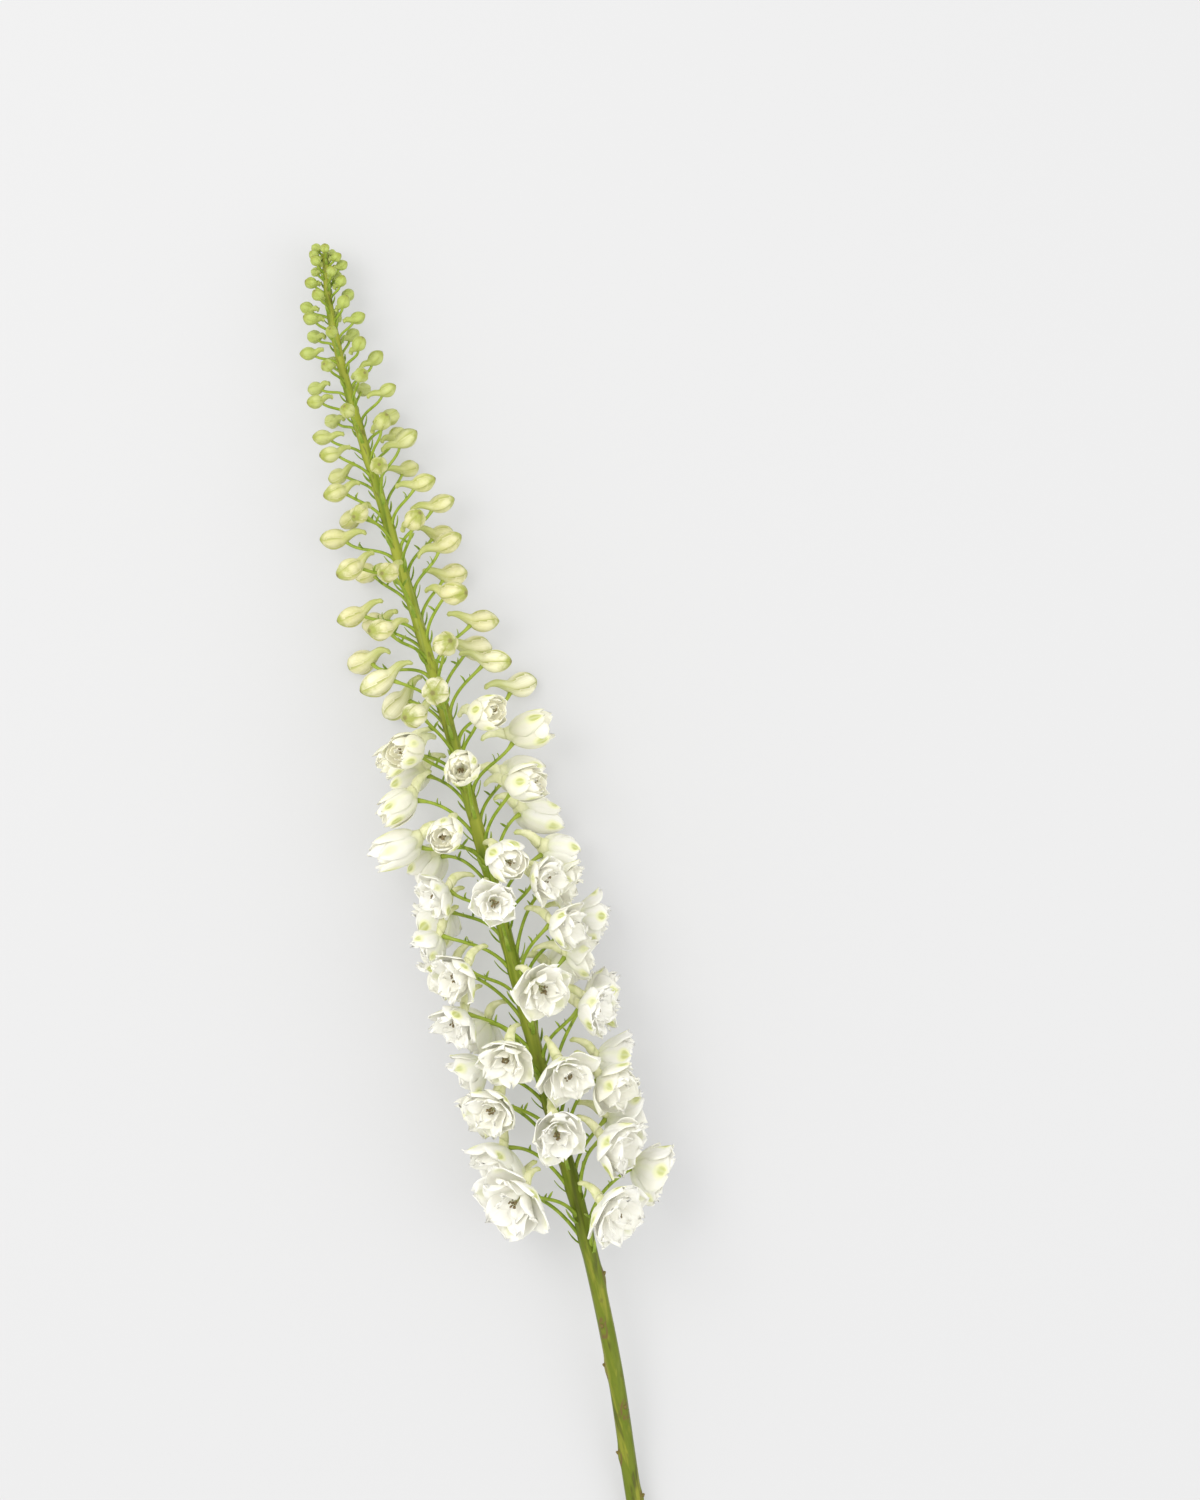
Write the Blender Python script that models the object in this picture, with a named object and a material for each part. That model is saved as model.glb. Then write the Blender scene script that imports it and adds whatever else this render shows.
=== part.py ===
"""A cut delphinium flower spike, laid down: one green stem and a loose solid for each floret.

Metres, +Z up. The spike lies along Y on the surface Z = 0, with its cut end at -Y and its tip
at +Y. Florets grow from the stem in a golden-angle spiral: wide open at the bottom of the spike,
cupped above them, then closed buds that shrink towards the tip.
"""

import math
import random

import bpy
import numpy as np
from mathutils import Vector

# Driving dimensions of the stem
SPIKE_LENGTH = 0.625
LOWEST_NODE = 0.160
TIP_NODE = 0.620
# The part's origin, under the middle of its box: from the cut end, and sideways from the line
ORIGIN_ALONG = 0.3137
ORIGIN_SIDE = 0.0041
# Centre line of the stem: distance from the cut end, sideways bend, height over the surface
STEM_LINE = (
    (0.000, -0.0030, 0.0034),
    (0.050, 0.0005, 0.0080),
    (0.110, 0.0052, 0.0190),
    (0.170, 0.0062, 0.0280),
    (0.250, 0.0032, 0.0320),
    (0.340, 0.0006, 0.0300),
    (0.420, -0.0032, 0.0262),
    (0.500, -0.0085, 0.0225),
    (0.565, -0.0126, 0.0192),
    (0.600, -0.0122, 0.0177),
    (0.625, -0.0085, 0.0170),
)
STEM_RADIUS = (
    (0.0, 0.0037), (0.16, 0.0035), (0.27, 0.0031), (0.42, 0.0025), (0.56, 0.0019), (0.625, 0.0011),
)
STEM_SIDES = 8
STEM_RINGS = 26

# Driving dimensions of the florets, each against the height on the spike: 0 lowest, 1 tip
FLORET_COUNT = 120
CUPPED_FROM = 0.345
CLOSED_FROM = 0.49
FUSED_FROM = 0.60
YOUNG_FROM = 0.74
GOLDEN_ANGLE = math.radians(137.5)
FIRST_AZIMUTH = math.radians(70)
REACH = (
    (0.0, 0.027), (0.30, 0.025), (0.50, 0.021), (0.70, 0.018), (0.85, 0.012), (0.95, 0.007), (1.0, 0.003),
)
LIFT = (
    (0.0, 0.024), (0.30, 0.022), (0.50, 0.020), (0.70, 0.017), (0.85, 0.010), (0.95, 0.006), (1.0, 0.004),
)
NOD_DEGREES = ((0.0, -34.0), (0.34, -20.0), (0.50, -8.0), (0.80, 8.0), (1.0, 35.0))
RADIUS = (
    (0.0, 0.0170), (0.07, 0.0155), (0.16, 0.0134), (0.344, 0.0114), (0.346, 0.0084), (0.489, 0.0072),
    (0.491, 0.0060), (0.67, 0.0047), (0.84, 0.0034), (0.95, 0.0027), (1.0, 0.0021),
)
LENGTH = (
    (0.0, 0.0155), (0.07, 0.0145), (0.16, 0.0130), (0.344, 0.0118), (0.346, 0.0175), (0.489, 0.0168),
    (0.491, 0.0165), (0.67, 0.0132), (0.84, 0.0086), (0.95, 0.0062), (1.0, 0.0046),
)
SPUR = (
    (0.0, 0.0160), (0.34, 0.0150), (0.50, 0.0125), (0.67, 0.0092), (0.84, 0.0054), (0.95, 0.0026),
    (1.0, 0.0014),
)
PEDICEL_RADIUS = ((0.0, 0.00085), (0.6, 0.00075), (1.0, 0.00060))
BLADE_HALF_THICKNESS = 0.00034
SEPALS = 5
BUD_SIDES = 10
BUD_CREASE = 0.05
# Rings of the spur at shares of its length: where it meets the floret, between, and its end's radius
NECK_SHARE = 0.14
SPUR_SHARES = (0.74, 0.42)
SPUR_END = 0.0005
# A pedicel leaves leaning out from the stem, and bends over both its handles' shares of its run
LEAVE_LEAN = 0.42
LEAVE_HANDLE = 0.42
ARRIVE_HANDLE = 0.36
# A bract grows below its pedicel, and lengthens with the floret's reach; a bracteole sits higher up
BRACT_BELOW = 0.0022
BRACT_LEAST = 0.0035
BRACT_PER_REACH = 0.25
BRACTEOLE_AT = 0.62
BRACTEOLE_LENGTH = 0.0050

# Balls that cover a sepal: share of radius out and aside, share of length ahead, size
SEPAL_BALLS = (
    (0.46, 0.0, 0.42, 0.24), (0.76, -0.20, 0.72, 0.18), (0.76, 0.20, 0.72, 0.18), (0.93, 0.0, 0.86, 0.11),
)

# Room that the florets keep
GAP = 0.0003
ROOM = 0.0009
FUSED_ROOM = -0.0006
SURFACE_ROOM = 0.0012
# Two buds, one on each side, carry the spike with the cut end: where they grow, how deep they sit
FOOT_HEIGHTS = (0.50, 0.60)
FOOT_DEPTH = 0.0005
FOOT_AIM = math.radians(-30)
FOOT_REACH = 1.55
SEED = 11

STEM_GREEN = (0.30, 0.42, 0.05)
PETAL_WHITE = (0.90, 0.90, 0.86)
BUD_CREAM = (0.84, 0.86, 0.60)


def ramp(keys, at):
    """Straight-line interpolation in a list of (place, value) keys."""
    for (low, low_value), (high, high_value) in zip(keys, keys[1:]):
        if at <= high:
            share = max(0.0, (at - low) / (high - low))
            return low_value + (high_value - low_value) * share
    return keys[-1][1]


def unit(vector):
    return vector / math.sqrt(float(np.dot(vector, vector)))


def stem_point(along):
    """A point of the stem's centre line, on a smooth curve through STEM_LINE."""
    last = len(STEM_LINE) - 1
    index = 0
    while index < last - 1 and along > STEM_LINE[index + 1][0]:
        index += 1
    around = [STEM_LINE[min(max(index + step, 0), last)] for step in (-1, 0, 1, 2)]
    span = around[2][0] - around[1][0]
    share = (along - around[1][0]) / span
    point = [-ORIGIN_SIDE, along - ORIGIN_ALONG, 0.0]
    for axis, column in ((0, 1), (2, 2)):
        before = max(around[1][0] - around[0][0], span)
        after = max(around[3][0] - around[2][0], span)
        start_slope = (around[2][column] - around[0][column]) / (span + before) * span
        end_slope = (around[3][column] - around[1][column]) / (span + after) * span
        square = share * share
        cube = square * share
        point[axis] += (
            (2 * cube - 3 * square + 1) * around[1][column]
            + (cube - 2 * square + share) * start_slope
            + (3 * square - 2 * cube) * around[2][column]
            + (cube - square) * end_slope
        )
    return np.array(point)


def stem_frame(along):
    """Centre, direction towards the tip, sideways and upward directions of the stem."""
    step = 0.002
    low = max(along - step, 0.0)
    high = min(along + step, SPIKE_LENGTH)
    tipward = unit(stem_point(high) - stem_point(low))
    sideways = unit(np.cross(tipward, np.array([0.0, 0.0, 1.0])))
    upward = np.cross(sideways, tipward)
    return stem_point(along), tipward, sideways, upward


def bezier(points, share):
    rest = 1.0 - share
    weights = (rest**3, 3 * rest * rest * share, 3 * rest * share * share, share**3)
    return sum(weight * point for weight, point in zip(weights, points))


class Floret:
    """One floret: where it grows from, which way it faces, and its sizes."""

    def __init__(self, index):
        self.index = index
        share = (index + 0.5) / FLORET_COUNT
        self.height = share * (1.25 - 0.25 * share**3)
        self.along = LOWEST_NODE + (TIP_NODE - LOWEST_NODE) * self.height
        self.kind = "open"
        if self.height > CUPPED_FROM:
            self.kind = "cupped"
        if self.height > CLOSED_FROM:
            self.kind = "closed"
        if self.height > FUSED_FROM:
            self.kind = "fused"
        self.young = self.height > YOUNG_FROM
        self.draw = random.Random(SEED * 1000 + index)
        self.azimuth = FIRST_AZIMUTH + index * GOLDEN_ANGLE + math.radians(self.draw.uniform(-9, 9))
        size = self.draw.uniform(0.92, 1.08)
        self.radius = ramp(RADIUS, self.height) * size
        self.length = ramp(LENGTH, self.height) * size
        self.spur = ramp(SPUR, self.height) * self.draw.uniform(0.9, 1.1)
        self.reach = ramp(REACH, self.height) * self.draw.uniform(0.85, 1.15)
        self.lift = ramp(LIFT, self.height) * self.draw.uniform(0.85, 1.15)
        self.nod = math.radians(ramp(NOD_DEGREES, self.height) + self.draw.uniform(-14, 14))
        self.turn = math.radians(self.draw.uniform(-16, 16))
        self.swing = math.radians(self.draw.uniform(-14, 14))
        self.hook = self.draw.uniform(0.62, 1.05)
        self.pedicel_radius = ramp(PEDICEL_RADIUS, self.height)
        self.drop = 0.0

    def place(self, azimuth, reach, lift):
        """Set the floret's own axes and its pedicel for one azimuth, reach and lift."""
        centre, tipward, sideways, upward = stem_frame(self.along)
        outward = math.cos(azimuth) * sideways + math.sin(azimuth) * upward
        around = np.cross(tipward, outward)
        facing = math.cos(self.nod) * outward + math.sin(self.nod) * tipward
        facing = unit(facing + math.tan(self.swing) * around)
        spurward = unit(tipward - np.dot(tipward, facing) * facing)
        across = np.cross(spurward, facing)
        self.facing = facing
        self.spurward = math.cos(self.turn) * spurward + math.sin(self.turn) * across
        self.across = np.cross(self.spurward, facing)
        base, _, _, _ = stem_frame(min(self.along + lift, SPIKE_LENGTH))
        self.seat = base + outward * reach + np.array([0.0, 0.0, -self.drop])
        root = centre + outward * ramp(STEM_RADIUS, self.along) * 0.5
        end, arrive = self.pedicel_end()
        run = float(np.linalg.norm(end - root))
        leave = unit(tipward + LEAVE_LEAN * outward)
        self.pedicel = (root, root + leave * run * LEAVE_HANDLE, end - arrive * run * ARRIVE_HANDLE, end)
        low = centre - BRACT_BELOW * tipward + outward * ramp(STEM_RADIUS, self.along) * 0.6
        bract = BRACT_LEAST + BRACT_PER_REACH * self.reach
        self.bract = (low, low + bract * unit(0.55 * outward + 0.8 * tipward))
        start = bezier(self.pedicel, BRACTEOLE_AT)
        hand = 1.0 if self.index % 2 else -1.0
        self.bracteole = (start, start + BRACTEOLE_LENGTH * unit(hand * self.across + 0.9 * tipward))

    def spur_row(self, share):
        """A ring of the spur at a share of its length: rise, place ahead, radius."""
        wide = {"open": 0.0023, "cupped": 0.0026}.get(self.kind, 0.30 * self.radius + 0.0005)
        rise = 0.0006 + 0.86 * self.spur * share * (1.0 - self.hook * share)
        taper = max(1.0 - (share - NECK_SHARE) / (1.0 - NECK_SHARE), 0.0)
        return rise, -share * self.spur, SPUR_END + (wide - SPUR_END) * taper

    def neck_row(self):
        """The ring where the spur meets the floret."""
        return self.spur_row(NECK_SHARE)

    def base_row(self):
        """The first ring of the floret's own body."""
        if self.kind == "open":
            return 0.0, 0.10 * self.length, 0.17 * self.radius
        return 0.0, 0.15 * self.length, 0.74 * self.radius

    def pedicel_end(self):
        """Where the pedicel ends under the floret, and the direction it arrives in."""
        rise, behind, wide = self.neck_row()
        _, ahead, round_base = self.base_row()
        upper = np.array([rise - wide, behind])
        lower = np.array([-round_base, ahead])
        slope = unit(lower - upper)
        inward = np.array([slope[1], -slope[0]])
        stand_off = -0.0012 if self.kind == "fused" else GAP + 0.0002
        spot = 0.5 * (upper + lower) - stand_off * inward
        end = self.world((0.0, spot[0], spot[1]))
        return end, unit(inward[0] * self.spurward + inward[1] * self.facing)

    def world(self, local):
        return self.seat + local[0] * self.across + local[1] * self.spurward + local[2] * self.facing

    def spheres(self):
        """Balls that cover the floret, as rows of centre and radius."""
        radius, length = self.radius, self.length
        rows = []
        for share in (0.96, 0.75, 0.45, 0.16):
            rise, ahead, ball = self.spur_row(share)
            rows.append((0, rise, ahead, ball + 0.0002))
        if self.kind == "open":
            rows.append((0, 0, 0.30 * length, 0.30 * radius))
            rows.append((0, 0, 0.78 * length, 0.42 * radius))
            for sepal in range(SEPALS):
                angle = math.radians(90) + sepal * math.tau / SEPALS
                for out, side, ahead, ball in SEPAL_BALLS:
                    x = radius * (out * math.cos(angle) - side * math.sin(angle))
                    y = radius * (out * math.sin(angle) + side * math.cos(angle))
                    rows.append((x, y, ahead * length, ball * radius))
        else:
            rows.append((0, 0, 0.22 * length, 0.80 * radius))
            rows.append((0, 0, 0.50 * length, 1.00 * radius))
            rows.append((0, 0, 0.78 * length, 0.90 * radius if self.kind == "cupped" else 0.66 * radius))
        return np.array([list(self.world(row[:3])) + [row[3]] for row in rows])

    def green_spheres(self):
        """Balls along the pedicel, its bract and its bracteole."""
        rows = [list(bezier(self.pedicel, step / 8)) + [self.pedicel_radius] for step in range(9)]
        for root, end in (self.bract, self.bracteole):
            for share in (0.35, 0.7, 1.0):
                rows.append(list(root + share * (end - root)) + [0.0006])
        return np.array(rows)


def clearance(some, others):
    """Smallest distance between two sets of balls, negative where they cross."""
    if len(others) == 0 or len(some) == 0:
        return 1.0
    gaps = np.linalg.norm(some[:, None, :3] - others[None, :, :3], axis=2)
    return float((gaps - some[:, None, 3] - others[None, :, 3]).min())


def stem_balls():
    rows = []
    for step in range(160):
        along = SPIKE_LENGTH * step / 159
        rows.append(list(stem_point(along)) + [ramp(STEM_RADIUS, along)])
    return np.array(rows)


def fits(floret, white, green, stem):
    """Whether a placed floret clears the surface, the stem and what is placed already."""
    body = floret.spheres()
    room = FUSED_ROOM if floret.young else ROOM
    if float((body[:, 2] - body[:, 3]).min()) < SURFACE_ROOM:
        return False
    if clearance(body, white) < room or clearance(body, green) < room:
        return False
    return clearance(body, stem) > room and clearance(floret.green_spheres(), white) > room


def lowest(floret):
    points, _ = closed_bud(floret, BUD_SIDES, BUD_CREASE)
    return min(point[2] for point in points)


def choose_feet(florets):
    """On each side the bud that grows nearest to FOOT_AIM, turned down until it meets the surface."""
    feet = []
    for aim in (FOOT_AIM, math.pi - FOOT_AIM):
        low, high = FOOT_HEIGHTS
        near = [floret for floret in florets if low < floret.height < high]
        foot = max(near, key=lambda floret: math.cos(floret.azimuth - aim))
        down = -1.0 if math.cos(aim) > 0 else 1.0
        for step in range(90):
            azimuth = aim + down * math.radians(step - 30)
            foot.place(azimuth, foot.reach * FOOT_REACH, foot.lift)
            if lowest(foot) < 0.0:
                break
        foot.drop = lowest(foot) + FOOT_DEPTH
        foot.place(azimuth, foot.reach * FOOT_REACH, foot.lift)
        feet.append(foot)
    return feet


def arrange():
    """Place the florets from the lowest up, each where it clears its neighbours and the surface."""
    stem = stem_balls()
    tries = []
    for swing in (0, 8, -8, 16, -16, 24, -24, 32, -32, 42, -42, 54, -54, 68, -68, 84, -84, 100, -100):
        for reach in (1.0, 1.18, 0.86, 1.34):
            for lift in (1.0, 1.25, 0.75, 1.5):
                cost = abs(swing) / 20 + abs(reach - 1) * 5 + abs(lift - 1) * 3
                tries.append((cost, swing, reach, lift))
    tries.sort()
    florets = [Floret(index) for index in range(FLORET_COUNT)]
    placed = choose_feet(florets)
    for floret in florets:
        if floret in placed:
            continue
        near = [other for other in placed if abs(other.along - floret.along) < 0.08]
        white = np.concatenate([other.spheres() for other in near] + [np.zeros((0, 4))])
        green = np.concatenate([other.green_spheres() for other in near] + [np.zeros((0, 4))])
        for _, swing, reach, lift in tries:
            floret.place(floret.azimuth + math.radians(swing), floret.reach * reach, floret.lift * lift)
            if fits(floret, white, green, stem):
                placed.append(floret)
                break
    return sorted(placed, key=lambda floret: floret.index)


def clear_scene():
    for thing in list(bpy.data.objects):
        bpy.data.objects.remove(thing, do_unlink=True)


def make_material(name, colour, roughness):
    material = bpy.data.materials.new(name)
    material.use_nodes = True
    shader = material.node_tree.nodes["Principled BSDF"]
    shader.inputs["Base Color"].default_value = (*colour, 1.0)
    shader.inputs["Roughness"].default_value = roughness
    shader.inputs["Metallic"].default_value = 0.0
    return material


def solid(name, points, triangles):
    """An object from points and triangles, turned so that its faces point out."""
    points = [np.asarray(point, dtype=float) for point in points]
    volume = sum(float(np.dot(points[a], np.cross(points[b], points[c]))) for a, b, c in triangles)
    if volume < 0:
        triangles = [(a, c, b) for a, b, c in triangles]
    mesh = bpy.data.meshes.new(name)
    mesh.from_pydata([Vector(point) for point in points], [], triangles)
    mesh.update()
    made = bpy.data.objects.new(name, mesh)
    bpy.context.scene.collection.objects.link(made)
    return made


def loft(rings, start, end):
    """Points and triangles of a closed skin through rings of equal count, closed at two poles."""
    count = len(rings[0])
    points = [point for ring in rings for point in ring] + [start, end]
    start_pole = len(points) - 2
    end_pole = len(points) - 1
    triangles = []
    for row in range(len(rings) - 1):
        for side in range(count):
            here = row * count + side
            beside = row * count + (side + 1) % count
            triangles.append((here, beside, beside + count))
            triangles.append((here, beside + count, here + count))
    last = (len(rings) - 1) * count
    for side in range(count):
        beside = (side + 1) % count
        triangles.append((beside, side, start_pole))
        triangles.append((last + side, last + beside, end_pole))
    return points, triangles


def tube(line, radii, sides, turn=0.0):
    """A closed tube of changing radius along a line of points."""
    rings = []
    side_axis = None
    for index, point in enumerate(line):
        ahead = unit(line[min(index + 1, len(line) - 1)] - line[max(index - 1, 0)])
        guide = side_axis if side_axis is not None else np.cross(ahead, np.array([0.0, 0.0, 1.0]))
        side_axis = unit(guide - np.dot(guide, ahead) * ahead)
        top_axis = np.cross(side_axis, ahead)
        ring = []
        for side in range(sides):
            angle = turn + math.tau * side / sides
            ring.append(point + radii[index] * (math.cos(angle) * side_axis + math.sin(angle) * top_axis))
        rings.append(ring)
    return loft(rings, line[0], line[-1])


def body_rings(floret, profile, sides, lobes):
    """Rings round the floret's own axis: profile rows are (spurward, ahead, radius, lobe depth)."""
    rings = []
    for rise, ahead, radius, depth in profile:
        ring = []
        for side in range(sides):
            angle = math.radians(90) + math.tau * side / sides
            swell = math.cos(lobes * (angle - math.radians(90)))
            out = radius * (1.0 + depth * swell)
            ring.append(floret.world((out * math.cos(angle), rise + out * math.sin(angle), ahead)))
        rings.append(ring)
    return rings


def spur_rows(floret):
    """Profile rows of the spur and the floret's base: (spurward, ahead, radius, lobe depth)."""
    rows = [(*floret.neck_row(), 0.0), (*floret.base_row(), 0.0)]
    if not floret.young:
        rows = [(*floret.spur_row(share), 0.0) for share in SPUR_SHARES] + rows
    return rows


def spur_tip(floret):
    rise, ahead, _ = floret.spur_row(0.98)
    return floret.world((0.0, rise, ahead))


def closed_bud(floret, sides, crease):
    """A teardrop bud with its spur, in one skin."""
    radius, length = floret.radius, floret.length
    profile = spur_rows(floret)
    body = ((0.58, 1.0),) if floret.young else ((0.48, 1.0), (0.82, 0.68))
    for ahead, share in body:
        profile.append((0.0, ahead * length, share * radius, crease))
    rings = body_rings(floret, profile, sides, SEPALS)
    return loft(rings, spur_tip(floret), floret.world((0.0, 0.0, length)))


def cupped_flower(floret, sides):
    """A half-open cup: an outer skin, five rounded sepal tips, and an inner skin."""
    radius, length = floret.radius, floret.length
    profile = spur_rows(floret)
    profile.append((0.0, 0.52 * length, 1.02 * radius, 0.05))
    rings = body_rings(floret, profile, sides, SEPALS)
    for out_share, low, high in ((0.90, 0.80, 1.02), (0.66, 0.74, 0.92)):
        ring = []
        for side in range(sides):
            angle = math.radians(90) + math.tau * side / sides
            tip = 0.5 + 0.5 * math.cos(SEPALS * (angle - math.radians(90)))
            out = out_share * radius
            ahead = (low + (high - low) * tip) * length
            ring.append(floret.world((out * math.cos(angle), out * math.sin(angle), ahead)))
        rings.append(ring)
    return loft(rings, spur_tip(floret), floret.world((0.0, 0.0, 0.46 * length)))


# A sepal and an inner petal: share of radius out, share of length ahead, share of width aside
SEPAL_EDGE = (
    (0.50, 0.45, -0.50), (0.86, 0.80, -0.40), (1.00, 0.90, 0.0), (0.86, 0.80, 0.40), (0.50, 0.45, 0.50),
)
SEPAL_MIDDLE = (0.62, 0.42, 0.0)
SEPAL_WIDTH = 0.68
SEPAL_LEAN = math.radians(40)
INNER_EDGE = ((0.36, 0.70, -0.50), (0.50, 1.05, 0.0), (0.36, 0.70, 0.50))
INNER_WIDTH = 0.44
INNER_LEAN = math.radians(58)


def petal_points(floret, angle, rows, width, lean):
    """The under and upper points of a cupped petal, a blade's thickness apart."""
    out_axis = math.cos(angle) * floret.across + math.sin(angle) * floret.spurward
    side_axis = -math.sin(angle) * floret.across + math.cos(angle) * floret.spurward
    flat = math.cos(lean) * floret.facing - math.sin(lean) * out_axis
    under = []
    upper = []
    for out, ahead, side in rows:
        spot = floret.seat + out * floret.radius * out_axis + ahead * floret.length * floret.facing
        spot = spot + side * width * floret.radius * side_axis
        normal = unit(flat - 0.35 * side * side_axis)
        under.append(spot - BLADE_HALF_THICKNESS * normal)
        upper.append(spot + BLADE_HALF_THICKNESS * normal)
    return under, upper


def open_flower(floret):
    """Five cupped sepals, five inner petals between them, and the spur, in one skin."""
    radius, length = floret.radius, floret.length
    profile = spur_rows(floret)
    profile.append((0.0, 0.32 * length, 0.17 * radius, 0.0))
    points = []
    for rise, ahead, out, _ in profile:
        for side in range(SEPALS):
            angle = math.radians(90 - 36) + math.tau * side / SEPALS
            points.append(floret.world((out * math.cos(angle), rise + out * math.sin(angle), ahead)))
    for side in range(SEPALS):
        angle = math.radians(90) + math.tau * side / SEPALS
        out = 0.10 * radius
        points.append(floret.world((out * math.cos(angle), out * math.sin(angle), 0.46 * length)))
    tip = len(points)
    points.append(spur_tip(floret))
    eye = len(points)
    points.append(floret.world((0.0, 0.0, 0.38 * length)))
    spur_end, spur_ring, neck, low, high, crown = [
        range(SEPALS * row, SEPALS * row + SEPALS) for row in range(len(profile) + 1)
    ]
    triangles = []
    for side in range(SEPALS):
        beside = (side + 1) % SEPALS
        triangles.append((spur_end[beside], spur_end[side], tip))
        triangles.append((crown[side], crown[beside], eye))
        triangles.append((high[side], high[beside], crown[side]))
        for inner, outer in ((spur_end, spur_ring), (spur_ring, neck), (neck, low)):
            triangles.append((inner[side], inner[beside], outer[beside]))
            triangles.append((inner[side], outer[beside], outer[side]))

        angle = math.radians(90) + math.tau * side / SEPALS
        rows = SEPAL_EDGE + (SEPAL_MIDDLE,)
        under, upper = petal_points(floret, angle, rows, SEPAL_WIDTH, SEPAL_LEAN)
        first = len(points)
        points.extend(under + upper)
        edge = len(SEPAL_EDGE)
        under_loop = [low[side]] + [first + step for step in range(edge)] + [low[beside]]
        upper_loop = [high[side]] + [first + edge + 1 + step for step in range(edge)] + [high[beside]]
        under_middle = first + edge
        upper_middle = first + 2 * edge + 1
        for step in range(edge + 1):
            a, b = under_loop[step], under_loop[step + 1]
            c, d = upper_loop[step], upper_loop[step + 1]
            triangles.append((b, a, under_middle))
            triangles.append((c, d, upper_middle))
            triangles.append((a, b, c))
            triangles.append((c, b, d))
        triangles.append((under_loop[0], under_loop[-1], under_middle))
        triangles.append((upper_loop[-1], upper_loop[0], upper_middle))

        angle = math.radians(90 + 36) + math.tau * side / SEPALS
        under, upper = petal_points(floret, angle, INNER_EDGE, INNER_WIDTH, INNER_LEAN)
        first = len(points)
        points.extend(under + upper)
        left, top, right = first, first + 1, first + 2
        left_in, top_in, right_in = first + 3, first + 4, first + 5
        root, root_left, root_right = high[beside], crown[side], crown[beside]
        triangles.append((root, top, left))
        triangles.append((root, right, top))
        triangles.append((root_left, left_in, top_in))
        triangles.append((root_left, top_in, root_right))
        triangles.append((root_right, top_in, right_in))
        for a, b, c, d in (
            (root, left, root_left, left_in),
            (left, top, left_in, top_in),
            (top, right, top_in, right_in),
            (right, root, right_in, root_right),
        ):
            triangles.append((a, b, c))
            triangles.append((c, b, d))
    return points, triangles


def spike(root, end, radius, sides):
    """A pointed sliver, such as a bract, from its root to its end."""
    ahead = unit(end - root)
    side_axis = unit(np.cross(ahead, np.array([0.3, 0.5, 0.81])))
    top_axis = np.cross(side_axis, ahead)
    points = []
    for side in range(sides):
        angle = math.tau * side / sides
        points.append(root + radius * (math.cos(angle) * side_axis + math.sin(angle) * top_axis))
    points.append(end)
    triangles = [(side, (side + 1) % sides, sides) for side in range(sides)]
    for side in range(1, sides - 1):
        triangles.append((0, side + 1, side))
    return points, triangles


def fuse(name, pieces):
    """Join closed pieces into one body: the first one takes in the rest by one Boolean union."""
    base = solid(name, *pieces[0])
    others = bpy.data.collections.new(name + "_pieces")
    bpy.context.scene.collection.children.link(others)
    for index, piece in enumerate(pieces[1:]):
        made = solid(f"{name}_{index}", *piece)
        bpy.context.scene.collection.objects.unlink(made)
        others.objects.link(made)
    union = base.modifiers.new("join", "BOOLEAN")
    union.operation = "UNION"
    union.operand_type = "COLLECTION"
    union.collection = others
    union.solver = "EXACT"
    union.use_self = True
    graph = bpy.context.evaluated_depsgraph_get()
    joined = bpy.data.meshes.new_from_object(base.evaluated_get(graph))
    base.modifiers.clear()
    base.data = joined
    for made in list(others.objects):
        bpy.data.objects.remove(made, do_unlink=True)
    bpy.data.collections.remove(others)
    return base


def make_stem(florets):
    """The stem with every pedicel, bract and bracteole, and the small buds near the tip."""
    line = []
    radii = []
    for ring in range(STEM_RINGS + 1):
        along = SPIKE_LENGTH * ring / STEM_RINGS
        line.append(stem_point(along))
        radii.append(ramp(STEM_RADIUS, along))
    pieces = [tube(line, radii, STEM_SIDES, math.pi / STEM_SIDES)]
    for floret in florets:
        steps = 2 if floret.young else 3
        points = [bezier(floret.pedicel, step / steps) for step in range(steps + 1)]
        thick = [floret.pedicel_radius] * (steps + 1)
        thick[0] *= 1.5
        pieces.append(tube(points, thick, 3))
        if not floret.young:
            pieces.append(spike(*floret.bract, 0.0008, 3))
        if floret.kind in ("open", "cupped"):
            pieces.append(spike(*floret.bracteole, 0.0006, 3))
        if floret.kind == "fused":
            pieces.append(closed_bud(floret, 5 if floret.young else 8, 0.0))
    return fuse("stem", pieces)


def cut_flat(thing):
    """Flatten the underside of a floret that rests on the surface."""
    block = bpy.data.meshes.new("surface")
    half = 0.06
    centre = sum((Vector(corner) for corner in thing.bound_box), Vector()) / 8
    corners = []
    for height in (-0.02, 0.0):
        for x, y in ((-half, -half), (half, -half), (half, half), (-half, half)):
            corners.append((centre.x + x, centre.y + y, height))
    faces = [(0, 3, 2, 1), (4, 5, 6, 7), (0, 1, 5, 4), (1, 2, 6, 5), (2, 3, 7, 6), (3, 0, 4, 7)]
    block.from_pydata(corners, [], faces)
    block.update()
    cutter = bpy.data.objects.new("surface", block)
    bpy.context.scene.collection.objects.link(cutter)
    cut = thing.modifiers.new("rest", "BOOLEAN")
    cut.operation = "DIFFERENCE"
    cut.object = cutter
    cut.solver = "EXACT"
    graph = bpy.context.evaluated_depsgraph_get()
    flat = bpy.data.meshes.new_from_object(thing.evaluated_get(graph))
    thing.modifiers.clear()
    thing.data = flat
    bpy.data.objects.remove(cutter, do_unlink=True)


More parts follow.
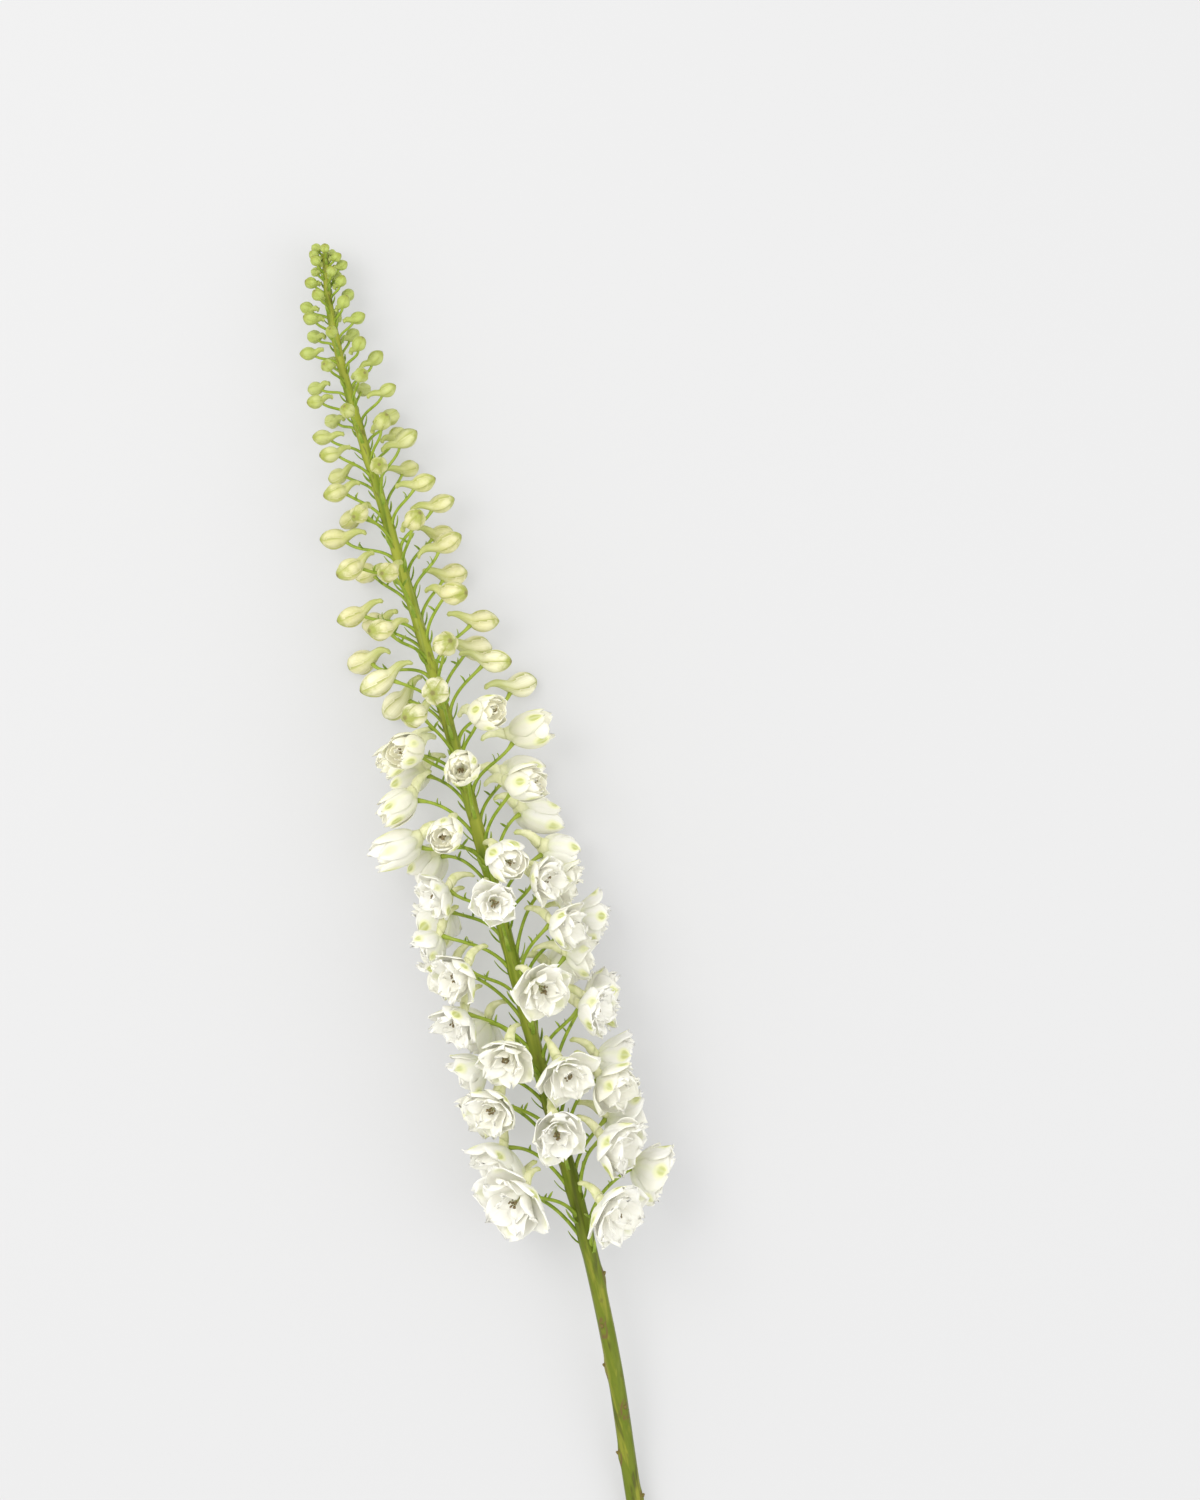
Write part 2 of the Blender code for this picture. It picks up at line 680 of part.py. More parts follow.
def build():
    clear_scene()
    green = make_material("stem_green", STEM_GREEN, 0.50)
    white = make_material("petal_white", PETAL_WHITE, 0.60)
    cream = make_material("bud_cream", BUD_CREAM, 0.55)
    florets = arrange()
    for floret in florets:
        name = f"floret_{floret.index:02d}"
        if floret.kind == "open":
            made = solid(name, *open_flower(floret))
            made.data.materials.append(white)
        elif floret.kind == "cupped":
            made = solid(name, *cupped_flower(floret, BUD_SIDES))
            made.data.materials.append(white)
        elif floret.kind == "closed":
            made = solid(name, *closed_bud(floret, BUD_SIDES, BUD_CREASE))
            if floret.drop:
                cut_flat(made)
            made.data.materials.append(cream)
    stem = make_stem(florets)
    stem.data.materials.clear()
    stem.data.materials.append(green)


build()
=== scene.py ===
"""Looks of a cut delphinium flower spike that lies on a pale floor, seen from straight above.

The florets stand where the frame's solids stand: the same spiral, sizes and clearances are worked
out here again, and each solid is replaced by a finer piece of the same form.
"""

import random
from collections import namedtuple
from itertools import product
from math import atan2, cos, pi, radians, sin, sqrt, tan, tau

import bpy
import numpy as np
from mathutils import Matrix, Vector


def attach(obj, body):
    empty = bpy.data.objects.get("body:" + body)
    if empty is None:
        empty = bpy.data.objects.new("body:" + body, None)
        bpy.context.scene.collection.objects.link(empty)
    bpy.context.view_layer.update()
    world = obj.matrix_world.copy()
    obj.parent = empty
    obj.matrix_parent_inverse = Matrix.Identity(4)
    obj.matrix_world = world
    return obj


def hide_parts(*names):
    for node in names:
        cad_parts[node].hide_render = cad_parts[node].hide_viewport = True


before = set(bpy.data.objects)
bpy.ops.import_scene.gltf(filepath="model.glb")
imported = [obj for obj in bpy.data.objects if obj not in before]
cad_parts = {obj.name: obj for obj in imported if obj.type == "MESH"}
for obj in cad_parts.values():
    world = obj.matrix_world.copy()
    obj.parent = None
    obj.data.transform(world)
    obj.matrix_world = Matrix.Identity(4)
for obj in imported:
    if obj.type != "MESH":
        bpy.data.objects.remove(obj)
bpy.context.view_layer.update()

# The stem and its florets, as in the part
SPIKE_LENGTH = 0.625
LOWEST_NODE = 0.16
TIP_NODE = 0.62
# The part's origin, under the middle of its box: from the cut end, and sideways from the line
ORIGIN_ALONG = 0.3137
ORIGIN_SIDE = 0.0041
# Centre line of the stem: distance from the cut end, sideways bend, height over the surface
STEM_LINE = (
    (0.0, -0.003, 0.0034), (0.05, 0.0005, 0.008), (0.11, 0.0052, 0.019), (0.17, 0.0062, 0.028),
    (0.25, 0.0032, 0.032), (0.34, 0.0006, 0.03), (0.42, -0.0032, 0.0262), (0.5, -0.0085, 0.0225),
    (0.565, -0.0126, 0.0192), (0.6, -0.0122, 0.0177), (0.625, -0.0085, 0.017),
)
STEM_RADIUS = (
    (0.0, 0.0037), (0.16, 0.0035), (0.27, 0.0031), (0.42, 0.0025), (0.56, 0.0019), (0.625, 0.0011),
)

# Driving dimensions of the florets, each against the height on the spike: 0 lowest, 1 tip
FLORET_COUNT = 120
CUPPED_FROM = 0.345
CLOSED_FROM = 0.49
FUSED_FROM = 0.6
YOUNG_FROM = 0.74
GOLDEN_ANGLE = radians(137.5)
FIRST_AZIMUTH = radians(70)
REACH = (
    (0.0, 0.027), (0.3, 0.025), (0.5, 0.021), (0.7, 0.018), (0.85, 0.012), (0.95, 0.007), (1.0, 0.003),
)
LIFT = (
    (0.0, 0.024), (0.3, 0.022), (0.5, 0.02), (0.7, 0.017), (0.85, 0.01), (0.95, 0.006), (1.0, 0.004),
)
NOD_DEGREES = ((0.0, -34.0), (0.34, -20.0), (0.5, -8.0), (0.8, 8.0), (1.0, 35.0))
RADIUS = (
    (0.0, 0.017), (0.07, 0.0155), (0.16, 0.0134), (0.344, 0.0114), (0.346, 0.0084), (0.489, 0.0072),
    (0.491, 0.006), (0.67, 0.0047), (0.84, 0.0034), (0.95, 0.0027), (1.0, 0.0021),
)
LENGTH = (
    (0.0, 0.0155), (0.07, 0.0145), (0.16, 0.013), (0.344, 0.0118), (0.346, 0.0175), (0.489, 0.0168),
    (0.491, 0.0165), (0.67, 0.0132), (0.84, 0.0086), (0.95, 0.0062), (1.0, 0.0046),
)
SPUR = (
    (0.0, 0.016), (0.34, 0.015), (0.5, 0.0125), (0.67, 0.0092), (0.84, 0.0054), (0.95, 0.0026),
    (1.0, 0.0014),
)
PEDICEL_RADIUS = ((0.0, 0.00085), (0.6, 0.00075), (1.0, 0.0006))
SEPALS = 5
BUD_SIDES = 10
BUD_CREASE = 0.05
# Rings of the spur at shares of its length: where it meets the floret, between, and its end's radius
NECK_SHARE = 0.14
SPUR_SHARES = (0.74, 0.42)
SPUR_END = 0.0005
# A pedicel leaves leaning out from the stem, and bends over both its handles' shares of its run
LEAVE_LEAN = 0.42
LEAVE_HANDLE = 0.42
ARRIVE_HANDLE = 0.36
# A bract grows below its pedicel, and lengthens with the floret's reach; a bracteole sits higher up
BRACT_BELOW = 0.0022
BRACT_LEAST = 0.0035
BRACT_PER_REACH = 0.25
BRACTEOLE_AT = 0.62
BRACTEOLE_LENGTH = 0.005

# Balls that cover a sepal: share of radius out and aside, share of length ahead, size
SEPAL_BALLS = (
    (0.46, 0.0, 0.42, 0.24), (0.76, -0.2, 0.72, 0.18), (0.76, 0.2, 0.72, 0.18), (0.93, 0.0, 0.86, 0.11),
)

# Room that the florets keep
GAP = 0.0003
ROOM = 0.0009
FUSED_ROOM = -0.0006
SURFACE_ROOM = 0.0012
# Two buds, one on each side, carry the spike with the cut end: where they grow, how deep they sit
FOOT_HEIGHTS = (0.5, 0.6)
FOOT_DEPTH = 0.0005
FOOT_AIM = radians(-30)
FOOT_REACH = 1.55
SEED = 11
# What a floret tries where it has no room: degrees round the stem, shares of its reach and its lift
SWINGS = (0, 8, 16, 24, 32, 42, 54, 68, 84, 100)
REACH_SHARES = (1.0, 1.18, 0.86, 1.34)
LIFT_SHARES = (1.0, 1.25, 0.75, 1.5)

# The photograph's frame: its centre over the model, its turn and its height on the floor
VIEW_CENTRE = (0.0569, 0.0646)
VIEW_TURN = radians(-13.0)
VIEW_HEIGHT = 0.675
CAMERA_HEIGHT = 2.6
SENSOR_MM = 36.0

# Sizes that only the looks need
PETAL_THICKNESS = 0.00026
BRACT_THICKNESS = 0.00022
STAMEN_RADIUS = 0.00016
SPUR_BLUNT = 0.985
# Nothing comes nearer to the floor than this
LEAST_HEIGHT = 0.00002
# Swellings of the stem at a leaf scar and at a pedicel: half their length, and height
SCAR_REACH = 0.0042
SCAR_SWELL = 0.00085
NODE_REACH = 0.0045
NODE_SWELL = 0.00045
# The cut end, from its rim inwards: share of the radius, and depth
CUT_DISH = ((1.0, 0.0), (0.93, -0.00015), (0.62, 0.0001), (0.42, 0.0004), (0.36, 0.003))
LEAF_SCARS = (
    (0.022, 100), (0.047, 10), (0.068, 165), (0.089, 60), (0.108, 190), (0.127, 115), (0.149, -8),
)

# Petal shapes. The width is a share of the floret's radius, and widest says where along the petal;
# claw is the share of it at the foot, blunt rounds the end, and frayed roughens it. cup and flare
# curve it across, ruffle and waves its edges, and keel its middle. The midline goes through points
# (share of radius out, share of length ahead).
Petal = namedtuple("Petal", "rows columns width widest claw blunt frayed cup flare ruffle waves keel line")
SEPAL = Petal(
    17, 12, 1.26, 0.56, 0.24, 0.6, 0.03, 0.85, 0.55, 0.06, 2.4, 0.03,
    ((0.03, 0.02), (0.5, 0.02), (0.8, 0.48), (1.02, 0.8)),
)
INNER = Petal(
    14, 10, 0.92, 0.62, 0.18, 0.52, 0.07, 0.8, 0.8, 0.085, 3.0, 0.01,
    ((0.03, 0.1), (0.36, 0.16), (0.52, 0.66), (0.78, 0.96)),
)
INNERMOST = Petal(
    11, 8, 0.5, 0.62, 0.2, 0.6, 0.09, 1.1, 0.6, 0.07, 2.8, 0.0,
    ((0.04, 0.16), (0.24, 0.2), (0.28, 0.6), (0.46, 0.84)),
)
HOOD = Petal(
    16, 12, 1.66, 0.54, 0.45, 0.46, 0.02, 1.0, 0.2, 0.035, 2.0, 0.05,
    ((0.28, 0.02), (0.98, 0.04), (1.2, 0.58), (0.92, 1.03)),
)
HOOD_INNER = Petal(
    11, 9, 1.36, 0.6, 0.45, 0.42, 0.02, 0.9, 0.2, 0.035, 2.0, 0.0,
    ((0.56, 0.26), (0.88, 0.4), (1.0, 0.72), (0.72, 0.99)),
)
THROAT = Petal(
    10, 7, 0.92, 0.58, 0.45, 0.44, 0.03, 0.9, 0.2, 0.04, 2.0, 0.0,
    ((0.34, 0.3), (0.58, 0.44), (0.7, 0.72), (0.46, 0.94)),
)
PISTIL_PETAL = Petal(
    8, 6, 0.46, 0.55, 0.5, 0.45, 0.04, 0.8, 0.2, 0.06, 2.4, 0.0,
    ((0.14, 0.34), (0.3, 0.46), (0.36, 0.68), (0.24, 0.88)),
)

# Whorls from outside in: petal, how many, first angle, swing, and their tones. The first two open by
# the floret's own mood, and where no angle stands it is drawn.
WHORLS = {
    "open": (
        (SEPAL, SEPALS, radians(90), 0.1, (0.6, 1.2)),
        (INNER, SEPALS, radians(126), 0.16, (0.4, 1.0)),
        (INNERMOST, 4, None, 0.3, (0.8, 1.6)),
    ),
    "cupped": (
        (HOOD, SEPALS, radians(90), 0.08, (0.6, 1.2)),
        (HOOD_INNER, SEPALS, radians(126), 0.12, (1.0,)),
        (THROAT, SEPALS, radians(100), 0.2, (1.3,)),
        (PISTIL_PETAL, 3, 0.45, 0.45, (1.0,)),
    ),
}

# Material slots of an open floret or a cup
PETAL, BACK, INSIDE, STALK, HEAD = range(5)

# A closed bud's body: share of the way from the spur's end, share of radius up, share of length
# ahead, share of radius. Its sepals overlap at a share of their width, and stand out by a share.
BUD_BODY = (
    (0.47, 0.06, 0.08, 0.6), (0.57, 0.03, 0.24, 0.86), (0.68, 0.0, 0.45, 1.0), (0.79, 0.0, 0.65, 0.92),
    (0.89, 0.0, 0.84, 0.62), (0.96, 0.0, 0.955, 0.3), (1.0, 0.0, 1.0, 0.07),
)
OVERLAP = 0.82
BUD_RELIEF = 0.13
# Between these heights on the spike the fused buds turn from cream to green
GREEN_FROM = 0.62
GREEN_TO = 0.96

# Sockets of a colour mix node
MIX_UNDER, MIX_OVER, MIX_RESULT = 6, 7, 2

# Studio light, and the floor that shows as a plain pale grey in it
FLOOR_COLOUR = (0.33, 0.33, 0.333)
FLOOR_GLOW = 0.355
FLOOR_HALF = 3.0
# Painted light: the petals glow faintly, the inner ones and the throats more, to lift the shade in their
# folds and in each floret's middle
PETAL_PAINTED_LIGHT = 0.02
INNER_PAINTED_LIGHT = 0.06
THROAT_PAINTED_LIGHT = 0.13
SKY_STRENGTH = 1.15
KEY_POWER = 20.0
FILL_POWER = 8.0


def ramp(keys, at):
    """Straight-line interpolation in rows of place and value."""
    return float(np.interp(at, *zip(*keys)))


def unit(vector):
    return vector / sqrt(float(np.dot(vector, vector)))


def lean(first, second, angle):
    """The first direction, turned by an angle towards the second."""
    return cos(angle) * first + sin(angle) * second


def hermite(share, start, end, start_slope, end_slope):
    """A smooth curve between two ends; the slopes are for the whole way between them."""
    square = share * share
    cube = square * share
    return (
        (2 * cube - 3 * square + 1) * start
        + (cube - 2 * square + share) * start_slope
        + (3 * square - 2 * cube) * end
        + (cube - square) * end_slope
    )


def stem_point(along):
    """A point of the stem's centre line, on a smooth curve through STEM_LINE."""
    last = len(STEM_LINE) - 1
    index = 0
    while index < last - 1 and along > STEM_LINE[index + 1][0]:
        index += 1
    keys = [np.array(STEM_LINE[min(max(index + step, 0), last)]) for step in (-1, 0, 1, 2)]
    before, start, end, after = keys
    span = end[0] - start[0]
    start_slope = (end - before) / (span + max(start[0] - before[0], span)) * span
    end_slope = (after - start) / (span + max(after[0] - end[0], span)) * span
    point = hermite((along - start[0]) / span, start, end, start_slope, end_slope)
    return np.array([point[1] - ORIGIN_SIDE, along - ORIGIN_ALONG, point[2]])


def stem_frame(along):
    """Centre, direction towards the tip, sideways and upward directions of the stem."""
    step = 0.002
    low = max(along - step, 0.0)
    high = min(along + step, SPIKE_LENGTH)
    tipward = unit(stem_point(high) - stem_point(low))
    sideways = unit(np.cross(tipward, np.array([0.0, 0.0, 1.0])))
    upward = np.cross(sideways, tipward)
    return stem_point(along), tipward, sideways, upward


def bezier(points, share):
    rest = 1.0 - share
    weights = (rest**3, 3 * rest * rest * share, 3 * rest * share * share, share**3)
    return sum(weight * point for weight, point in zip(weights, points))


class Floret:
    """One floret: where it grows from, which way it faces, and its sizes."""

    def __init__(self, index):
        self.index = index
        share = (index + 0.5) / FLORET_COUNT
        self.height = share * (1.25 - 0.25 * share**3)
        self.along = LOWEST_NODE + (TIP_NODE - LOWEST_NODE) * self.height
        self.kind = "open"
        for kind, start in (("cupped", CUPPED_FROM), ("closed", CLOSED_FROM), ("fused", FUSED_FROM)):
            if self.height > start:
                self.kind = kind
        self.young = self.height > YOUNG_FROM
        draw = random.Random(SEED * 1000 + index).uniform
        self.azimuth = FIRST_AZIMUTH + index * GOLDEN_ANGLE + radians(draw(-9, 9))
        tables = (RADIUS, LENGTH, SPUR, REACH, LIFT, NOD_DEGREES, PEDICEL_RADIUS)
        radius, length, spur, reach, lift, nod, thin = [ramp(keys, self.height) for keys in tables]
        size = draw(0.92, 1.08)
        self.radius = radius * size
        self.length = length * size
        self.spur = spur * draw(0.9, 1.1)
        self.reach = reach * draw(0.85, 1.15)
        self.lift = lift * draw(0.85, 1.15)
        self.nod = radians(nod + draw(-14, 14))
        self.turn = radians(draw(-16, 16))
        self.swing = radians(draw(-14, 14))
        self.hook = draw(0.62, 1.05)
        self.pedicel_radius = thin
        self.drop = 0.0

    def place(self, azimuth, reach, lift):
        """Set the floret's own axes and its pedicel for one azimuth, reach and lift."""
        centre, tipward, sideways, upward = stem_frame(self.along)
        outward = lean(sideways, upward, azimuth)
        around = np.cross(tipward, outward)
        facing = unit(lean(outward, tipward, self.nod) + tan(self.swing) * around)
        self.facing = facing
        spurward = unit(tipward - np.dot(tipward, facing) * facing)
        across = np.cross(spurward, facing)
        self.spurward = lean(spurward, across, self.turn)
        self.across = np.cross(self.spurward, facing)
        base = stem_point(min(self.along + lift, SPIKE_LENGTH))
        self.seat = base + outward * reach - np.array([0.0, 0.0, self.drop])
        root = centre + outward * ramp(STEM_RADIUS, self.along) * 0.5
        end, arrive = self.pedicel_end()
        run = float(np.linalg.norm(end - root))
        leave = unit(tipward + LEAVE_LEAN * outward)
        self.pedicel = (root, root + leave * run * LEAVE_HANDLE, end - arrive * run * ARRIVE_HANDLE, end)
        self.outward = outward
        self.tipward = tipward
        low = centre - BRACT_BELOW * tipward + outward * ramp(STEM_RADIUS, self.along) * 0.6
        bract = BRACT_LEAST + BRACT_PER_REACH * self.reach
        self.bract = (low, low + bract * unit(0.55 * outward + 0.8 * tipward))
        start = bezier(self.pedicel, BRACTEOLE_AT)
        hand = 1.0 if self.index % 2 else -1.0
        self.bracteole = (start, start + BRACTEOLE_LENGTH * unit(hand * self.across + 0.9 * tipward))

    def spur_row(self, share):
        """A ring of the spur at a share of its length: rise, place ahead, radius."""
        wide = {"open": 0.0023, "cupped": 0.0026}.get(self.kind, 0.3 * self.radius + 0.0005)
        rise = 0.0006 + 0.86 * self.spur * share * (1.0 - self.hook * share)
        taper = max(1.0 - (share - NECK_SHARE) / (1.0 - NECK_SHARE), 0.0)
        return rise, -share * self.spur, SPUR_END + (wide - SPUR_END) * taper

    def base_row(self):
        """The first ring of the floret's own body."""
        if self.kind == "open":
            return 0.0, 0.1 * self.length, 0.17 * self.radius
        return 0.0, 0.15 * self.length, 0.74 * self.radius

    def pedicel_end(self):
        """Where the pedicel ends under the floret, and the direction it arrives in."""
        rise, behind, wide = self.spur_row(NECK_SHARE)
        _, ahead, round_base = self.base_row()
        upper = np.array([rise - wide, behind])
        lower = np.array([-round_base, ahead])
        slope = unit(lower - upper)
        inward = np.array([slope[1], -slope[0]])
        stand_off = -0.0012 if self.kind == "fused" else GAP + 0.0002
        spot = 0.5 * (upper + lower) - stand_off * inward
        end = self.world((0.0, spot[0], spot[1]))
        return end, unit(inward[0] * self.spurward + inward[1] * self.facing)

    def world(self, local):
        """Local points, each across, spurward and facing, in the world."""
        return self.seat + np.asarray(local) @ np.array([self.across, self.spurward, self.facing])

    def spheres(self):
        """Balls that cover the floret, as rows of centre and radius."""
        radius, length = self.radius, self.length
        rows = []
        for share in (0.96, 0.75, 0.45, 0.16):
            rise, ahead, ball = self.spur_row(share)
            rows.append((0, rise, ahead, ball + 0.0002))
        if self.kind == "open":
            rows += [(0, 0, 0.3 * length, 0.3 * radius), (0, 0, 0.78 * length, 0.42 * radius)]
            for sepal in range(SEPALS):
                angle = radians(90) + sepal * tau / SEPALS
                for out, side, ahead, ball in SEPAL_BALLS:
                    x, y = turned(out, side, angle)
                    rows.append((x * radius, y * radius, ahead * length, ball * radius))
        else:
            last = 0.9 if self.kind == "cupped" else 0.66
            for ahead, ball in ((0.22, 0.8), (0.5, 1.0), (0.78, last)):
                rows.append((0, 0, ahead * length, ball * radius))
        rows = np.array(rows)
        return np.column_stack([self.world(rows[:, :3]), rows[:, 3]])

    def green_spheres(self):
        """Balls along the pedicel, its bract and its bracteole."""
        rows = [(*bezier(self.pedicel, step / 8), self.pedicel_radius) for step in range(9)]
        for root, end in (self.bract, self.bracteole):
            rows += [(*(root + share * (end - root)), 0.0006) for share in (0.35, 0.7, 1.0)]
        return np.array(rows)


def clearance(some, others):
    """Smallest distance between two sets of balls, negative where they cross."""
    if len(others) == 0 or len(some) == 0:
        return 1.0
    gaps = np.linalg.norm(some[:, None, :3] - others[None, :, :3], axis=2)
    return float((gaps - some[:, None, 3] - others[None, :, 3]).min())


def stem_balls():
    places = np.linspace(0.0, SPIKE_LENGTH, 160)
    return np.array([(*stem_point(along), ramp(STEM_RADIUS, along)) for along in places])


def fits(floret, white, green, stem):
    """Whether a placed floret clears the surface, the stem and what is placed already."""
    body = floret.spheres()
    room = FUSED_ROOM if floret.young else ROOM
    if float((body[:, 2] - body[:, 3]).min()) < SURFACE_ROOM:
        return False
    if clearance(body, white) < room or clearance(body, green) < room:
        return False
    return clearance(body, stem) > room and clearance(floret.green_spheres(), white) > room


def lowest(floret):
    """The lowest point of the plain bud solid, before it is cut flat at the surface."""
    rows = [(*floret.spur_row(share), 0.0) for share in (*SPUR_SHARES, NECK_SHARE)]
    rows.append((*floret.base_row(), 0.0))
    for ahead, share in ((0.48, 1.0), (0.82, 0.68)):
        rows.append((0.0, ahead * floret.length, share * floret.radius, BUD_CREASE))
    rise, behind, _ = floret.spur_row(0.98)
    points = [(0.0, rise, behind), (0.0, 0.0, floret.length)]
    for rise, ahead, radius, crease in rows:
        for turn in turns(BUD_SIDES):
            out = radius * (1.0 + crease * cos(SEPALS * turn))
            points.append((-out * sin(turn), rise + out * cos(turn), ahead))
    return floret.world(points)[:, 2].min()


def choose_feet(florets):
    """On each side the bud that grows nearest to FOOT_AIM, turned down until it meets the surface."""
    feet = []
    for aim in (FOOT_AIM, pi - FOOT_AIM):
        low, high = FOOT_HEIGHTS
        near = [floret for floret in florets if low < floret.height < high]
        foot = max(near, key=lambda floret: cos(floret.azimuth - aim))
        down = -1.0 if cos(aim) > 0 else 1.0
        for step in range(90):
            azimuth = aim + down * radians(step - 30)
            foot.place(azimuth, foot.reach * FOOT_REACH, foot.lift)
            if lowest(foot) < 0.0:
                break
        foot.drop = lowest(foot) + FOOT_DEPTH
        foot.place(azimuth, foot.reach * FOOT_REACH, foot.lift)
        feet.append(foot)
    return feet


def arrange():
    """Place the florets from the lowest up, each where it clears its neighbours and the surface."""
    stem = stem_balls()
    tries = sorted(
        (abs(swing) / 20 + abs(reach - 1) * 5 + abs(lift - 1) * 3, side * swing, reach, lift)
        for swing, side, reach, lift in product(SWINGS, (1, -1), REACH_SHARES, LIFT_SHARES)
    )
    florets = [Floret(index) for index in range(FLORET_COUNT)]
    placed = choose_feet(florets)
    for floret in florets:
        if floret in placed:
            continue
        near = [other for other in placed if abs(other.along - floret.along) < 0.08]
        kinds = (Floret.spheres, Floret.green_spheres)
        white, green = [np.concatenate([np.zeros((0, 4)), *map(balls, near)]) for balls in kinds]
        for _, swing, reach, lift in tries:
            floret.place(floret.azimuth + radians(swing), floret.reach * reach, floret.lift * lift)
            if fits(floret, white, green, stem):
                placed.append(floret)
                break
    return sorted(placed, key=lambda floret: floret.index)


def wall_faces(rows, columns):
    """Four-sided faces between closed rings of points, rows by columns."""
    index = np.arange(rows * columns).reshape(rows, columns)
    beside = np.roll(index, -1, axis=1)
    return np.stack([index[:-1], beside[:-1], beside[1:], index[1:]], axis=2).reshape(-1, 4).tolist()


def fan_faces(start, columns, middle):
    """Triangles between a closed ring, whose first point is start, and a point in its middle."""
    return [(start + column, start + (column + 1) % columns, middle) for column in range(columns)]


def ring(centre, out, angle, first, second):
    """Points round a centre at distances out, turned from the first axis towards the second."""
    return centre + np.outer(out * np.cos(angle), first) + np.outer(out * np.sin(angle), second)


def grid_shares(rows, columns):
    """Shares along, from 0 to 1, and aside, from -1 to 1, of a sheet's rows and columns."""
    return np.meshgrid(np.linspace(0.0, 1.0, rows), np.linspace(-1.0, 1.0, columns), indexing="ij")


def turns(columns):
    """Evenly spaced angles once round."""
    return np.linspace(0, tau, columns, endpoint=False)


class Skin:
    """Points, faces and per-point values of one piece, gathered sheet by sheet."""

    def __init__(self):
        self.points = []
        self.faces = []
        self.slots = []
        self.values = {key: [] for key in ("aside", "along", "tone", "outer", "young")}
        self.young = 0.0
        self.count = 0

    def add(self, points, faces, slot, aside, along, tone, outer=1.0):
        points = np.asarray(points).reshape(-1, 3)
        self.points.append(points)
        self.faces.extend(tuple(int(corner) + self.count for corner in face) for face in faces)
        self.slots.extend([slot] * len(faces))
        for parts, value in zip(self.values.values(), (aside, along, tone, outer, self.young)):
            parts.append(np.broadcast_to(value, len(points)))
        self.count += len(points)

    def sheet(self, grid, thickness, slot, aside, along, tone, back):
        """A thin closed sheet on both sides of a grid of points; back points out of its outer face."""
        rows, columns = grid.shape[:2]
        normal = np.cross(np.gradient(grid, axis=1), np.gradient(grid, axis=0))
        normal = normal / np.maximum(np.linalg.norm(normal, axis=2, keepdims=True), 1e-12)
        half = 0.5 * thickness * normal
        points = np.concatenate([(grid + half).reshape(-1, 3), (grid - half).reshape(-1, 3)])
        under = rows * columns
        index = np.arange(under).reshape(rows, columns)
        corners = [index[:-1, :-1], index[:-1, 1:], index[1:, 1:], index[1:, :-1]]
        top = np.stack(corners, axis=2).reshape(-1, 4)
        rim = np.concatenate([index[0], index[1:, -1], index[-1, -2::-1], index[-2:0:-1, 0]])
        after = np.roll(rim, -1)
        side = np.stack([after, rim, rim + under, after + under], axis=1)
        faces = np.concatenate([top, top[:, [0, 3, 2, 1]] + under, side]).tolist()
        first_is_outer = float(np.dot(normal.mean(axis=(0, 1)), back)) > 0
        outer = np.repeat([1.0, 0.0] if first_is_outer else [0.0, 1.0], under)
        aside, along = np.tile(aside.reshape(-1), 2), np.tile(along.reshape(-1), 2)
        self.add(points, faces, slot, aside, along, tone, outer)

    def skin_of_rings(self, rings, slot, aside, along, tone):
        """A closed skin through rings, rows by points, with both ends filled."""
        rows, columns = rings.shape[:2]
        size = rows * columns
        middles = [rings[0].mean(axis=0)[None], rings[-1].mean(axis=0)[None]]
        faces = wall_faces(rows, columns)
        faces += [(b, a, c) for a, b, c in fan_faces(0, columns, size)]
        faces += fan_faces(size - columns, columns, size + 1)
        aside = np.concatenate([np.broadcast_to(aside, (rows, columns)).reshape(-1), [0.5, 0.5]])
        along = np.broadcast_to(along, (rows, columns)).reshape(-1)
        along = np.concatenate([along, [along[0], along[-1]]])
        self.add(np.concatenate([rings.reshape(-1, 3)] + middles), faces, slot, aside, along, tone)

    def make(self, name, materials):
        mesh = bpy.data.meshes.new(name)
        points = np.concatenate(self.points)
        points[:, 2] = np.maximum(points[:, 2], LEAST_HEIGHT)
        mesh.from_pydata(points.tolist(), [], self.faces)
        for key, parts in self.values.items():
            layer = mesh.attributes.new(key, "FLOAT", "POINT")
            layer.data.foreach_set("value", np.concatenate(parts).astype(np.float32))
        for material in materials:
            mesh.materials.append(material)
        mesh.polygons.foreach_set("material_index", self.slots)
        mesh.update()
        mesh.shade_smooth()
        return link(name, mesh)


def turned(first, second, angle):
    """Two coordinates after a turn by an angle."""
    cosine, sine = np.cos(angle), np.sin(angle)
    return first * cosine - second * sine, first * sine + second * cosine


def smooth_line(keys, shares):
    """Values on a smooth curve through rows of keys, whose first column says where."""
    keys = np.asarray(keys, dtype=float)
    places, values = keys[:, 0], keys[:, 1:]
    slopes = np.gradient(values, places, axis=0)
    index = np.clip(np.searchsorted(places, shares) - 1, 0, len(places) - 2)
    width = (places[index + 1] - places[index])[:, None]
    share = (shares - places[index])[:, None] / width
    ends = (values[index], values[index + 1], width * slopes[index], width * slopes[index + 1])
    return hermite(share, *ends)


